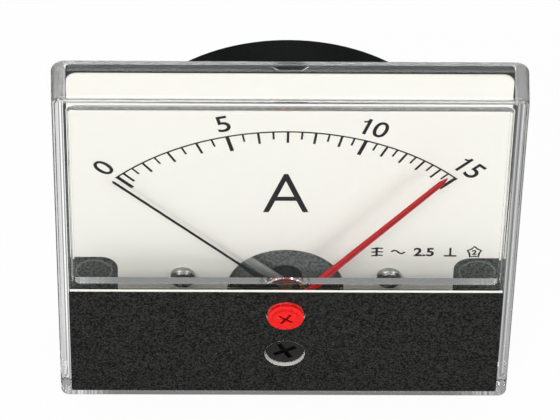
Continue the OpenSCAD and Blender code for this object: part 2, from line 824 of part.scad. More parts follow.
module front_bridge() {
    lean = atan2(post_x, -post_below);
    color("goldenrod") difference() {
        slab(y_bridge, y_bridge_back) {
            translate([0, pivot_z]) circle(bridge_eye_r);
            for (site = post_sites)
                translate(site) circle(post_eye_r);
            for (side = [-1, 1])
                translate([0, pivot_z]) rotate(-side * lean)
                    translate([-bridge_w / 2, 0]) square([bridge_w, post_from_pivot]);
        }
        rod(jewel_d / 2 + press_fit, y_bridge - over, over, [0, pivot_z]);
        for (site = post_sites)
            rod(small_screw_d / 2 + screw_fit, y_bridge - over, over, site);
    }
}

module bridge_screws() {
    color("silver") for (site = post_sites)
        slotted_screw(y_bridge, bridge_t + bridge_screw_grip, site);
}

module front_jewel_screw() {
    head_r = small_head_d * 0.4;
    y_head = y_bridge - small_head_h;
    r = jewel_d / 2;
    color("#c9a24a") difference() {
        turned([[head_r, y_head], [head_r, y_bridge], [r, y_bridge], [r, y_front_cup]], [0, pivot_z]);
        cone(cup_play, cup_mouth_r, y_front_cup - cup_depth, y_front_cup, [0, pivot_z]);
        screw_slot(y_head, 2 * head_r, [0, pivot_z]);
    }
}

module rear_jewel_screw() {
    color("#c9a24a") difference() {
        rod(jewel_back_d / 2, y_rear_cup, y_floor, [0, pivot_z]);
        cone(cup_mouth_r, cup_play, y_rear_cup, y_rear_cup + cup_depth, [0, pivot_z]);
    }
}

module coil_leads() {
    color("#b86a35") for (side = [-1, 1])
        at_pivot(side * lead_angle) {
            difference() {
                union() {
                    translate([0, y_lead, 0]) cylinder(d = lead_d, h = lead_reach);
                    translate([0, y_lead, lead_reach]) sphere(d = lead_d);
                    rod(lead_d / 2, y_lead, y_lug, [0, lead_reach]);
                }
                rod(winding_r, y_iron - over, y_plate + over);
            }
        }
}

module terminal_lugs() {
    color("#c8873f") for (side = [-1, 1])
        difference() {
            slab(y_lug, y_floor) translate([side * term_x, term_z]) {
                circle(term_head_d / 2);
                rotate(side * (180 - lead_angle)) {
                    translate([-lead_d, 0]) square([2 * lead_d, lug_tail]);
                    translate([0, lug_tail]) circle(lead_d);
                }
            }
            rod(term_hole_r, y_lug - over, y_floor + over, [side * term_x, term_z]);
        }
}

module terminal_studs() {
    chamfer = term_d * 0.12;
    head_r = term_head_d / 2;
    r = term_d / 2;
    y_chamfer = y_term_end - chamfer;
    color("#cda349") for (site = term_sites)
        turned([
            [head_r, y_term_head], [head_r, y_lug], [r, y_lug], [r, y_chamfer], [r - chamfer, y_term_end]
        ], site);
}

module terminal_washers() {
    color("silver") for (site = term_sites, y0 = [barrel_l, barrel_l + washer_t + nut_h])
        difference() {
            rod(washer_d / 2, y0, y0 + washer_t, site);
            rod(term_hole_r, y0 - over, y0 + washer_t + over, site);
        }
}

module terminal_nuts() {
    half_side = 180 / nut_sides;
    color("#cda349") for (site = term_sites, step = [0, 1]) {
        y0 = barrel_l + washer_t + step * (nut_h + washer_t);
        difference() {
            translate([site.x, y0 + nut_h, site.y]) rotate([90, half_side, 0])
                cylinder(d = nut_flats / cos(half_side), h = nut_h, $fn = nut_sides);
            rod(term_hole_r, y0 - over, y0 + nut_h + over, site);
        }
    }
}

module spindle() {
    tip_r = cup_play / 2;
    color("silver") at_pivot() turned([
        [tip_r, y_front_tip], [spindle_r, y_front_tip + spindle_tip],
        [spindle_r, y_rear_tip - spindle_tip], [tip_r, y_rear_tip]
    ]);
}

module pointer_hub() {
    spigot_r = hub_spigot_d / 2;
    y_collet = y_spring + play;
    y_hub_back = y_hub_front + hub_l;
    color("goldenrod") at_pivot() difference() {
        turned([
            [collet_r, y_collet], [collet_r, y_hub_front], [spigot_r, y_hub_front], [spigot_r, y_hub_seat],
            [hub_d / 2, y_hub_seat], [hub_d / 2, y_hub_back]
        ]);
        rod(spindle_r + press_fit, y_spring, y_hub_back + over);
    }
}

module pointer() {
    color("#16171a") at_pivot(rest_angle) difference() {
        slab(y_hub_seat - pointer_t, y_hub_seat) {
            circle(hub_d / 2);
            polygon([
                [root_half_w, 0], [needle_w / 2, root_l], [needle_w / 2, pointer_l - needle_w],
                [0, pointer_l],
                [-needle_w / 2, pointer_l - needle_w], [-needle_w / 2, root_l], [-root_half_w, 0]
            ]);
            for (turn = arm_turns)
                rotate(turn) translate([-arm_w / 2, 0]) square([arm_w, arm_l]);
        }
        rod(hub_spigot_d / 2 + press_fit, y_pointer - over, y_pointer + over);
    }
}

module balance_weights() {
    color("goldenrod") for (turn = arm_turns)
        at_pivot(rest_angle + turn) difference() {
            translate([0, y_pointer, weight_at]) cylinder(d = weight_d, h = weight_l);
            translate([-arm_w / 2 - press_fit, y_hub_seat - pointer_t - press_fit, weight_at - over])
                cube([arm_w + 2 * press_fit, pointer_t + 2 * press_fit, weight_l + 2 * over]);
        }
}

module damping_vane() {
    vane_y0 = y_box + swing_gap;
    vane_y1 = y_bobbin - box_wall - swing_gap;
    color("gainsboro") at_pivot(rest_angle) difference() {
        union() {
            rod(collar_r, y_vane_arm, vane_y1);
            slab(y_vane_arm, y_vane_arm + vane_t)
                translate([-vane_arm_w / 2, 0]) square([vane_arm_w, vane_arm_l]);
            translate([-vane_t / 2, vane_y0, 0])
                cube([vane_t, vane_y1 - vane_y0, box_r - box_wall - swing_gap]);
        }
        rod(spindle_r + press_fit, y_vane_arm - over, vane_y1 + over);
    }
}

module moving_iron() {
    outer = moving_iron_r + iron_t / 2;
    web = iron_t * 1.4;
    color("slategray") at_pivot(rest_angle) difference() {
        slab(y_iron, y_iron + iron_l) {
            ring_piece(outer - iron_t, outer, moving_iron_angle / 2);
            circle(collar_r);
            translate([-web / 2, 0]) square([web, outer - iron_t / 2]);
        }
        rod(spindle_r + press_fit, y_iron - over, y_iron + iron_l + over);
    }
}

// A point on the hairspring's middle line, t turns out from its inner end
function spring_point(t, shift) =
    let (r = spring_inner_r + (spring_outer_r - spring_inner_r) * t / spring_turns + shift)
    [r * sin(360 * t), r * cos(360 * t)];

module hairspring() {
    steps = spring_steps * spring_turns;
    outside = [for (i = [0 : steps]) spring_point(spring_turns * i / steps, spring_strip / 2)];
    inside = [for (i = [steps : -1 : 0]) spring_point(spring_turns * i / steps, -spring_strip / 2)];
    color("#b98f4a") at_pivot() slab(y_spring, y_spring + spring_h) polygon(concat(outside, inside));
}

module set_screw() {
    y_top = y_mask - set_proud;
    dome_r = (pow(set_head_d / 2, 2) + pow(set_dome_h, 2)) / (2 * set_dome_h);
    color("#f8201c") at_pivot() difference() {
        union() {
            intersection() {
                rod(set_head_d / 2, y_top, y_set_seat);
                translate([0, y_top + dome_r, 0]) sphere(r = dome_r, $fn = 128);
            }
            rod(shaft_d / 2, y_set_seat - set_sunk / 2, y_set_hand);
            rod(set_stub_d / 2, y_set_seat, y_set_ring + ring_t);
        }
        cross_recess(y_top, set_cross_w, set_cross_l, cross_depth, [0, 0], set_cross_turn);
    }
}

module set_hand() {
    color("#c0303a") at_pivot(set_angle) difference() {
        slab(y_set_hand, y_set_ring) {
            circle(set_eye_d / 2);
            polygon([
                [set_root_w / 2, 0], [set_tip_w / 2, set_l - set_point_l], [0, set_l],
                [-set_tip_w / 2, set_l - set_point_l], [-set_root_w / 2, 0]
            ]);
        }
        rod(set_stub_d / 2 + press_fit, y_set_hand - over, y_set_ring + over);
    }
}

// A push-on ring on a shaft of diameter d
module push_ring(y0, d, at) {
    difference() {
        rod(ring_d / 2, y0, y0 + ring_t, at);
        rod(d / 2 + press_fit, y0 - over, y0 + ring_t + over, at);
    }
}

module set_ring() {
    color("#8d8f92") push_ring(y_set_ring, set_stub_d, [0, pivot_z]);
}

module zero_screw() {
    y_top = y_mask + zero_recess;
    y_shaft_end = y_zero_boss + play + ring_t;
    head_r = zero_head_d / 2;
    r = shaft_d / 2;
    outline = [[head_r, y_top], [head_r, y_zero_seat], [r, y_zero_seat], [r, y_shaft_end]];
    color("#1c1c1d") difference() {
        union() {
            turned(outline, [0, zero_z]);
            rod(zero_pin_d / 2, y_zero_boss, y_lever + lever_t + play, [0, zero_z + zero_throw]);
        }
        cross_recess(y_top, zero_cross_w, zero_cross_l, cross_depth, [0, zero_z], zero_cross_turn);
    }
}

module zero_ring() {
    color("#8d8f92") push_ring(y_zero_boss + play, shaft_d, [0, zero_z]);
}

module zero_lever() {
    slot = zero_pin_d + 2 * fork_gap;
    fork_w = slot + lever_w;
    pin_r = zero_below - zero_throw;
    fork_end = pin_r + zero_pin_d;
    fork_start = pin_r - zero_pin_d / 2 - fork_gap;
    color("goldenrod") at_pivot() {
        difference() {
            slab(y_lever, y_lever + lever_t) {
                circle(lever_eye_d / 2);
                translate([-lever_w / 2, -fork_start]) square([lever_w, fork_start]);
                translate([-fork_w / 2, -fork_end]) square([fork_w, fork_end - fork_start + lever_w / 2]);
                translate([-lever_w / 2, 0]) square([lever_w, spring_stud_r]);
                translate([0, spring_stud_r]) circle(lever_w / 2);
            }
            rod(jewel_d / 2 + turn_fit, y_lever - over, over);
            slab(y_lever - over, over) {
                translate([-slot / 2, -fork_end - over]) square([slot, fork_end - fork_start + over]);
            }
        }
        rod(spring_stud_d / 2, y_lever + lever_t / 2, y_spring + spring_h, [0, spring_stud_r]);
    }
}

clear_cover();
lower_mask();
rear_case();
mounting_studs();
dial_plate();
dial_screws();
movement_plate();
plate_screws();
coil_bobbin();
coil_winding();
fixed_iron();
damping_box();
damping_lid();
bridge_posts();
front_bridge();
bridge_screws();
front_jewel_screw();
rear_jewel_screw();
coil_leads();
terminal_lugs();
terminal_studs();
terminal_washers();
terminal_nuts();
spindle();
pointer_hub();
pointer();
balance_weights();
damping_vane();
moving_iron();
hairspring();
set_screw();
set_hand();
set_ring();
zero_screw();
zero_ring();
zero_lever();
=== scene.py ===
# %% [markdown]
# # A square panel ammeter
# The CAD model gives every solid its place and size. This lesson dresses those solids: it rounds their
# edges, prints the scale on the dial, cuts threads, gives each finish a procedural material and lights
# the meter like a catalogue picture. All lengths in the frame are metres, so sizes in millimetres are
# multiplied by MM.

# %% Load the CAD frame
import json
import math

import bmesh
import bpy
from mathutils import Matrix, Vector

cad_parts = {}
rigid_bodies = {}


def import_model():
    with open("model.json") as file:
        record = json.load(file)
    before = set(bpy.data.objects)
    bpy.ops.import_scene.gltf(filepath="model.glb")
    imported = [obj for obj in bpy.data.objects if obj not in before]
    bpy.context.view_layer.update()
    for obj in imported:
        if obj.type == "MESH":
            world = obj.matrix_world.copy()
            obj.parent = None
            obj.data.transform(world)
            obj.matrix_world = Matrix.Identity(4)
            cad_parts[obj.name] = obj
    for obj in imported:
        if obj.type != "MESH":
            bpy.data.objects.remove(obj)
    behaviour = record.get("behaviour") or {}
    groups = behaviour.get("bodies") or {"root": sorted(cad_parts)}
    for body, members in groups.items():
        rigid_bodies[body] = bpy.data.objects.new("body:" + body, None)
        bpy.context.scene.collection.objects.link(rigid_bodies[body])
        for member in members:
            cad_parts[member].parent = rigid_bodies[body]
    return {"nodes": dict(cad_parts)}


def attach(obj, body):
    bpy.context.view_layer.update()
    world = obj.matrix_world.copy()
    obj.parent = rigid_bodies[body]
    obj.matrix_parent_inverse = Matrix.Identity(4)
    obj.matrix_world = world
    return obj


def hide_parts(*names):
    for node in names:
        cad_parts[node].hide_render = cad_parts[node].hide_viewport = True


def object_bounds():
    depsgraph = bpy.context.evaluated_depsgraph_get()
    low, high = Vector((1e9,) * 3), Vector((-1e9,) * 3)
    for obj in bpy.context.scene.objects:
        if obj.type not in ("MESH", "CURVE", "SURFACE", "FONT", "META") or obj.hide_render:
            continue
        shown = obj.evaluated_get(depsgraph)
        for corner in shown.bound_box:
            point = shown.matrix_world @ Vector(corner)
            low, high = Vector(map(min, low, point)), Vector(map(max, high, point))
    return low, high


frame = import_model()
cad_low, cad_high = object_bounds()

MM = 0.001
nodes = frame["nodes"]
body_of = {name: node.parent.name.split(":")[1] for name, node in nodes.items()}
slot_of = {name: node.data.materials[0].name for name, node in nodes.items()}

# %% [markdown]
# ## The camera
# The photograph was taken with a long lens from about 49 degrees above the dial. A camera can be aimed
# by eye, but the numbers below come from fitting a pinhole camera to the cover's edges and the scale's
# arc. So the camera is built from its three axes, which takes the fitted angles as they are.

# %% Camera from the fitted angles
ELEVATION = math.radians(49.518)
AZIMUTH = math.radians(-1.374)
ROLL = math.radians(1.255)
DISTANCE = 800.13 * MM
AIM = Vector((-1.186, 0.0, 1.403)) * MM
FOCAL_PIXELS = 4586.1
PICTURE_WIDTH = 560
SENSOR = 36.0
NEAREST, FARTHEST = 0.05, 50.0

back = Vector((
    math.sin(AZIMUTH) * math.cos(ELEVATION),
    -math.cos(AZIMUTH) * math.cos(ELEVATION),
    math.sin(ELEVATION),
))
right = Vector((math.cos(AZIMUTH), math.sin(AZIMUTH), 0.0))
up = back.cross(right)
cam_x = right * math.cos(ROLL) + up * math.sin(ROLL)
cam_y = up * math.cos(ROLL) - right * math.sin(ROLL)

lens = bpy.data.cameras.new("camera")
lens.sensor_fit = "HORIZONTAL"
lens.sensor_width = SENSOR
lens.lens = FOCAL_PIXELS / PICTURE_WIDTH * SENSOR
lens.clip_start = NEAREST
lens.clip_end = FARTHEST
camera = bpy.data.objects.new("camera", lens)
axes = Matrix((cam_x, cam_y, back)).transposed().to_4x4()
camera.matrix_world = Matrix.Translation(AIM + back * DISTANCE) @ axes
bpy.context.scene.collection.objects.link(camera)
bpy.context.scene.camera = camera
print("camera at", [round(v, 3) for v in camera.location], "lens", round(lens.lens, 1), "mm")

# %% [markdown]
# ## A small language for node trees
# Shader and geometry trees are long to write node by node. This class wraps one output socket, so that
# sums and products of sockets read like plain arithmetic, also with a number on the left. Any node that
# isn't arithmetic is made by the one method called node.

# %% Sockets that add and multiply
def operators(operation):
    """An operator's method, and its reflected form for a number on the left."""
    def forward(self, other):
        return self.math(operation, self, other)

    def reflected(self, other):
        return self.math(operation, other, self)

    return forward, reflected


class Sock:
    """One output socket of a tree, with arithmetic."""

    def __init__(self, tree, socket=None):
        self.tree = tree
        self.socket = socket

    def node(self, kind, output=0, settings=None, **inputs):
        """Any node: inputs by name, with _ for a blank, or by i and a number."""
        made = self.tree.nodes.new(kind)
        for key, value in (settings or {}).items():
            setattr(made, key, value)
        for key, value in inputs.items():
            by_number = key[0] == "i" and key[1:].isdigit()
            self.feed(made.inputs[int(key[1:]) if by_number else key.replace("_", " ")], value)
        return Sock(self.tree, made.outputs[output])

    def feed(self, target, value):
        """Links a socket to an input, or sets the input to a plain value."""
        if isinstance(value, Sock):
            self.tree.links.new(value.socket, target)
        else:
            target.default_value = value

    def math(self, operation, first, second=0.0):
        """A Math node on sockets or numbers."""
        return self.node("ShaderNodeMath", settings={"operation": operation}, i0=first, i1=second)

    __add__, __radd__ = operators("ADD")
    __sub__, __rsub__ = operators("SUBTRACT")
    __mul__, __rmul__ = operators("MULTIPLY")
    __truediv__, __rtruediv__ = operators("DIVIDE")
    __pow__, __rpow__ = operators("POWER")
    __mod__, __rmod__ = operators("MODULO")
    __lt__, __gt__ = operators("LESS_THAN")

    def between(self, low, high):
        """0 below low, 1 above high and smooth from one to the other."""
        return self.node(
            "ShaderNodeMapRange", settings={"interpolation_type": "SMOOTHSTEP"},
            Value=self, From_Min=low, From_Max=high,
        )

    def band(self, rise, fall):
        """1 in a band, with a smooth rise and a smooth fall, and 0 on both sides."""
        return self.between(*rise) * (1.0 - self.between(*fall))


print("socket arithmetic ready")

# %% [markdown]
# ## Finishes
# A moulded, painted or plated surface is never one flat colour. An image texture could show that, but it
# has one fixed sharpness. So each finish below mixes two close colours with a fine noise in object
# coordinates and lets the same noise move the roughness and a small bump. The noise is given in
# millimetres, so the grain has the same size on every piece.

# %% Colours and grain
looks = {}


def rgb(text):
    """A colour written as in a web page, as the linear values that Blender uses."""
    parts = [int(text[i:i + 2], 16) / 255 for i in (1, 3, 5)]
    return [p / 12.92 if p <= 0.04045 else ((p + 0.055) / 1.055) ** 2.4 for p in parts] + [1.0]


def start_look(name):
    """An empty material: its shader and a socket with its object coordinates."""
    made = bpy.data.materials.new(name + "_look")
    made.use_nodes = True
    looks[name] = made
    tree = made.node_tree
    where = Sock(tree).node("ShaderNodeTexCoord", output="Object")
    return tree.nodes["Principled BSDF"], where


def grain_of(where, size, detail=3.0, stretch=(1, 1, 1)):
    """Noise between 0 and 1 whose spots are about size millimetres wide."""
    spot = where.node("ShaderNodeMapping", Vector=where, Scale=[s / (size * MM) for s in stretch])
    return spot.node("ShaderNodeTexNoise", Vector=spot, Scale=1.0, Detail=detail)


def mixed(amount, low, high):
    """A colour between two colours."""
    return amount.node(
        "ShaderNodeMix", output=2, settings={"data_type": "RGBA"}, i0=amount, i6=low, i7=high
    )


def two_tone(spots, dark, light):
    """A colour between two written colours."""
    return mixed(spots, rgb(dark), rgb(light))


print("colours and grain ready")


# %% A finish from two colours and a grain
def grained(name, grain, rough=None, metal=0.0, bump=0.0, stretch=(1, 1, 1), coat=0.0, sharp=0.0,
            specular=0.5):
    """A finish that has no colour yet: its shader, its coordinates and its grain."""
    shader, where = start_look(name)
    spots = grain_of(where, grain, stretch=stretch)
    if sharp:
        spots = spots.between(0.5 - sharp, 0.5 + sharp)
    if rough:
        spots.feed(shader.inputs["Roughness"], rough[0] + (rough[1] - rough[0]) * spots)
    shader.inputs["Metallic"].default_value = metal
    shader.inputs["Coat Weight"].default_value = coat
    shader.inputs["Specular IOR Level"].default_value = specular
    if bump:
        raised = spots.node("ShaderNodeBump", Distance=bump * MM, Height=spots)
        spots.feed(shader.inputs["Normal"], raised)
    return shader, where, spots


def plain_finish(name, dark, light, grain, rough, **more):
    """A finish that is the same all over its pieces."""
    shader, where, spots = grained(name, grain, rough, **more)
    spots.feed(shader.inputs["Base Color"], two_tone(spots, dark, light))


plain_finish("plated_steel", "#7d7e7c", "#b9bab7", 0.4, (0.18, 0.32), metal=1.0)
plain_finish("brass", "#9a7a3a", "#c9a24a", 0.7, (0.25, 0.42), metal=1.0)
plain_finish("bobbin_brown", "#2a1c16", "#43302a", 0.8, (0.45, 0.6))
plain_finish("copper", "#8c4a24", "#b86a35", 0.9, (0.3, 0.45), metal=1.0)
plain_finish("damper_grey", "#4a504e", "#8a928f", 0.5, (0.4, 0.6), bump=0.01, sharp=0.2)
plain_finish("soft_iron", "#4c525a", "#6a727b", 0.4, (0.4, 0.55), metal=1.0)
plain_finish("pointer_black", "#030304", "#08090a", 0.3, (0.5, 0.65), specular=0.15)
plain_finish("spring_bronze", "#8a642c", "#b98f4a", 0.3, (0.25, 0.4), metal=1.0)
plain_finish("dial_white", "#f1efe6", "#f7f5ee", 0.5, (0.45, 0.6), specular=0.3)
plain_finish("mask_black", "#0a0b0a", "#2f312e", 0.34, (0.45, 0.75), bump=0.035, sharp=0.16, specular=0.3)
print(len(looks), "plain finishes")

# %% [markdown]
# ## Finishes that follow their place
# Some pieces change along their surface. They could be cut into several pieces with a finish each, but
# the real ones are one moulding or one sheet. So their material reads where a point lies: its depth Y,
# its height Z or its distance from an axis.

# %% Where a point lies
def coordinate(where, axis):
    """One coordinate of a point, in millimetres."""
    return where.node("ShaderNodeSeparateXYZ", output=axis, Vector=where) / MM


def radius_of(where, axis_z, axis_x=0.0):
    """The distance of a point from an axis along Y, in millimetres."""
    flat = where.node(
        "ShaderNodeVectorMath", settings={"operation": "MULTIPLY_ADD"},
        i0=where, i1=(1.0 / MM, 0.0, 1.0 / MM), i2=(-axis_x, 0.0, -axis_z),
    )
    return where.node("ShaderNodeVectorMath", output="Value", settings={"operation": "LENGTH"}, i0=flat)


print("depth, height and radius ready")

# %% [markdown]
# The rear case is one black moulding. Its flange is matt and looks dusty in the lower half, and its top is
# painted darker as painted shade. Each boss shows a pale ring, a painted highlight where the rim of a stud
# head would catch the light. The barrel behind the panel is smoother and blacker.

# %% The rear case
BARREL_START = (0.1, 0.5)
TOP_SHADE_HEIGHT = (0.0, 30.0)
BOSS_X, BOSS_Z = 33.8, 12.4
RING_RISE, RING_FALL = (2.9, 3.1), (3.2, 3.4)
RING_HIGHLIGHT_SHARE = 0.6
DUST_ROUGH, BARREL_ROUGH = 0.62, 0.37
shader, where, spots = grained("case_black", 0.5, bump=0.01, sharp=0.2, specular=0.12)
barrel = coordinate(where, "Y").between(*BARREL_START)
# Painted shade: the flange's colour goes darker towards its top.
shaded_top = coordinate(where, "Z").between(*TOP_SHADE_HEIGHT)
folded = where.node("ShaderNodeVectorMath", settings={"operation": "ABSOLUTE"}, i0=where)
# Painted highlight: a pale ring on each boss, where a stud head's rim would catch the light.
boss_ring_highlight = radius_of(folded, BOSS_Z, BOSS_X).band(RING_RISE, RING_FALL)
dust_and_shade = mixed(shaded_top, two_tone(spots, "#171b18", "#5e655f"), two_tone(spots, "#090b0a", "#161a18"))
flange = mixed(RING_HIGHLIGHT_SHARE * boss_ring_highlight, dust_and_shade, rgb("#868d87"))
smooth = two_tone(spots, "#060708", "#0e0f11")
spots.feed(shader.inputs["Base Color"], mixed(barrel, flange, smooth))
spots.feed(shader.inputs["Roughness"], DUST_ROUGH + (BARREL_ROUGH - DUST_ROUGH) * barrel)
print("rear case: dusty flange, smooth barrel")

# %% [markdown]
# Both screws are painted dark in their cross recesses as painted shade: behind the head's face and near
# the axis. The red head also has a soft rim. It is only a shade on the dome, so a bump that rises with the
# distance from the axis shows it.

# %% The red and the black screw
PIVOT_Z = -16.6
ZERO_Z = -27.4
RED_CROSS, RED_DEPTH = 1.6, (-9.8, -9.65)
BLACK_CROSS, BLACK_DEPTH = 2.3, (-8.35, -8.2)
SCREW_RIM = (2.0, 2.7)
RIM_HIGH = 0.35


def recess_of(where, axis_z, reach, depths):
    """1 in a cross recess: within reach of the axis and behind the head's face."""
    return coordinate(where, "Y").between(*depths) * (radius_of(where, axis_z) < reach)


shader, where, spots = grained("screw_red", 0.6, (0.22, 0.34), coat=0.3)
rim = radius_of(where, PIVOT_Z).between(*SCREW_RIM)
raised = rim.node("ShaderNodeBump", Distance=RIM_HIGH * MM, Height=rim)
spots.feed(shader.inputs["Normal"], raised)
fresh = two_tone(spots, "#ea0a08", "#fc1612")
recess_shade = two_tone(spots, "#5a0a08", "#8c120e")
# Painted shade in the red screw's cross recess.
recess = recess_of(where, PIVOT_Z, RED_CROSS, RED_DEPTH)
spots.feed(shader.inputs["Base Color"], mixed(recess, fresh, recess_shade))

shader, where, spots = grained("screw_black", 0.3, (0.4, 0.6), specular=0.3)
dull = two_tone(spots, "#181819", "#2e2e30")
# Painted shade in the black screw's cross recess.
recess = recess_of(where, ZERO_Z, BLACK_CROSS, BLACK_DEPTH)
spots.feed(shader.inputs["Base Color"], mixed(recess, dull, rgb("#050505")))
print("screws with dark recesses")

# %% [markdown]
# The damping vane is thin aluminium. Its arm shows pale in the dial's round opening, while the blade lies
# deep in the damping box and gets no light there, so it goes dark with depth. The red hand is a folded
# strip: painted shade along its crease shows as a darker line along its middle, found from the hand's own
# direction.

# %% The vane and the red hand
VANE_SHADE = (-0.9, -0.6)
HAND_ANGLE = math.radians(37.8)
CREASE_RISE, CREASE_FALL = (-0.12, 0.0), (0.12, 0.24)
shader, where, spots = grained("aluminium", 0.4, (0.5, 0.7), metal=0.15, stretch=(1, 1, 6), sharp=0.2)
deep = coordinate(where, "Y").between(*VANE_SHADE)
bare = two_tone(spots, "#8f9491", "#c4c8c4")
spots.feed(shader.inputs["Base Color"], mixed(deep, bare, two_tone(spots, "#1b1d1c", "#2c2f2d")))

shader, where, spots = grained("hand_red", 0.6, (0.4, 0.55), specular=0.15)
sideways = (math.cos(HAND_ANGLE) / MM, 0.0, -math.sin(HAND_ANGLE) / MM)
along_side = where.node(
    "ShaderNodeVectorMath", output="Value", settings={"operation": "DOT_PRODUCT"}, i0=where, i1=sideways
)
across = along_side + PIVOT_Z * math.sin(HAND_ANGLE)
# Painted shade: a darker line along the hand's crease.
crease_shade = across.band(CREASE_RISE, CREASE_FALL)
paint = two_tone(spots, "#b0040e", "#c40a14")
spots.feed(shader.inputs["Base Color"], mixed(crease_shade, paint, rgb("#5e020a")))
print("vane and red hand follow their place")

# %% [markdown]
# ## Clear plastic
# The cover is one clear moulding. Real refraction draws its edges, but lamps don't shine through
# refracting glass without caustics. So a ray on its way to a lamp, or one that only gathers soft light,
# meets a transparent shader, and every other ray meets the refracting one. The back edge of the top wall
# stays as the tool left it, a little matt, and shows as a pale line.

# %% Clear plastic that lets lamps through
CLEAR_INDEX = 1.49
WEAR_SIZE = 3.0
POLISHED, WORN = 0.004, 0.012
BACK_EDGE = (-0.15, -0.05)
TOP_WALL = (37.0, 38.0)
BACK_MATT = 0.6
shader, where = start_look("clear_plastic")
wear = grain_of(where, WEAR_SIZE)
shader.inputs["Transmission Weight"].default_value = 1.0
shader.inputs["IOR"].default_value = CLEAR_INDEX
wear.feed(shader.inputs["Base Color"], two_tone(wear, "#fbfdfc", "#ffffff"))
back_edge = coordinate(where, "Y").between(*BACK_EDGE) * coordinate(where, "Z").between(*TOP_WALL)
wear.feed(shader.inputs["Roughness"], POLISHED + WORN * wear + BACK_MATT * back_edge)
shadow_ray = where.node("ShaderNodeLightPath", output="Is Shadow Ray")
diffuse_ray = where.node("ShaderNodeLightPath", output="Is Diffuse Ray")
open_share = where.math("MAXIMUM", shadow_ray, diffuse_ray)
open_side = where.node("ShaderNodeBsdfTransparent")
glass_side = Sock(where.tree, shader.outputs[0])
clear = where.node("ShaderNodeMixShader", i0=open_share, i1=glass_side, i2=open_side)
where.feed(where.tree.nodes["Material Output"].inputs["Surface"], clear)
print("clear plastic, index", CLEAR_INDEX)

# %% [markdown]
# ## Rounded edges
# A moulding tool and a tumbling barrel leave no sharp edge, and it is the small rounded edge that
# catches the light. Each edge could be modelled in CAD, but a Bevel modifier with hardened normals does
# it in one step. The CAD mesh is loose triangles, so a copy is merged first and its flat parts are joined
# into single faces. On the way, steps too small to see are closed: the cover's back becomes flat, the
# mask's back is lifted off the cover's front face, which it would share, and the flange fills the cover,
# so that no light slips past it.

# %% Pieces and merged copies
JOIN_REACH = 0.002 * MM
FLAT_ANGLE = math.radians(0.6)
SNAP_REACH = 0.005 * MM
SNAPS = {
    "clear_cover": ((-0.088 * MM, 0.0),),
    "lower_mask": ((-8.8 * MM, -8.82 * MM),),
}
FLANGE_EDGE = 36.0 * MM
FLANGE_SNUG = 38.08 / 37.95


def as_piece(name, mesh, body, slot, replaced=()):
    """An object at the origin that rides on a body, with its finish."""
    piece = bpy.data.objects.new(name, mesh)
    bpy.context.scene.collection.objects.link(piece)
    mesh.materials.clear()
    mesh.materials.append(looks[slot])
    for node in replaced:
        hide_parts(node)
    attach(piece, body)


def merged_copy(node):
    """The CAD node's mesh with its triangles joined into flat faces."""
    source = bmesh.new()
    source.from_mesh(nodes[node].data)
    for vertex in source.verts:
        for y_from, y_to in SNAPS.get(node, ()):
            if abs(vertex.co.y - y_from) < SNAP_REACH:
                vertex.co.y = y_to
        if node == "rear_case" and max(abs(vertex.co.x), abs(vertex.co.z)) > FLANGE_EDGE:
            vertex.co.x *= FLANGE_SNUG
            vertex.co.z *= FLANGE_SNUG
    bmesh.ops.remove_doubles(source, verts=source.verts, dist=JOIN_REACH)
    bmesh.ops.dissolve_limit(source, angle_limit=FLAT_ANGLE, verts=source.verts, edges=source.edges)
    mesh = bpy.data.meshes.new(node + "_merged")
    source.to_mesh(mesh)
    source.free()
    if "custom_normal" in mesh.attributes:
        mesh.attributes.remove(mesh.attributes["custom_normal"])
    return mesh


print("copies are merged within", JOIN_REACH / MM, "mm")

# %% [markdown]
# How much an edge is rounded depends on its place. The cover's outer edges are rounded most and the
# window's raised edge by half of that, while its inner edges stay almost sharp. The modifier's own
# clamp would shrink all of them to suit the smallest face, and sliding would fold its wide flat rim, so
# both are off for the cover. All other pieces are rounded evenly.

# %% Edges rounded by their place
COVER_INSIDE = 38.5
PANE_EDGE = -9.3
RIM_FRONT = -8.75
PANE_SHARE, RIM_SHARE, INNER_SHARE = 0.5, 0.3, 0.04
SHARP_ANGLE = math.radians(30)


def even_share(middle):
    """Every edge gets the whole rounding."""
    return 1.0


def cover_share(middle):
    """The share of the rounding for one of the cover's edges, by its middle in millimetres."""
    if max(abs(middle.x), abs(middle.z)) > COVER_INSIDE:
        return 1.0
    if middle.y < PANE_EDGE:
        return PANE_SHARE
    return RIM_SHARE if middle.y < RIM_FRONT else INNER_SHARE


def evaluated(piece):
    """The piece's mesh with its modifiers applied."""
    graph = bpy.context.evaluated_depsgraph_get()
    return bpy.data.meshes.new_from_object(piece.evaluated_get(graph), depsgraph=graph)


def rounded(mesh, width, segments, share_of):
    """The mesh with its sharp edges rounded by a share of width millimetres."""
    mesh.polygons.foreach_set("use_smooth", [True] * len(mesh.polygons))
    mesh.set_sharp_from_angle(angle=SHARP_ANGLE)
    shares = [0.0] * len(mesh.edges)
    for edge in mesh.edges:
        if edge.use_edge_sharp:
            a, b = (mesh.vertices[i].co for i in edge.vertices)
            shares[edge.index] = share_of((a + b) / 2 / MM)
    mesh.attributes.new("bevel_weight_edge", "FLOAT", "EDGE").data.foreach_set("value", shares)
    carrier = bpy.data.objects.new("carrier", mesh)
    bpy.context.scene.collection.objects.link(carrier)
    bevel = carrier.modifiers.new("round", "BEVEL")
    bevel.width = width * MM
    bevel.segments = segments
    bevel.limit_method = "WEIGHT"
    bevel.harden_normals = True
    bevel.use_clamp_overlap = share_of is even_share
    bevel.loop_slide = share_of is even_share
    result = evaluated(carrier)
    bpy.data.objects.remove(carrier)
    return result


print("cover edges keep", [1.0, PANE_SHARE, RIM_SHARE, INNER_SHARE], "of their rounding")

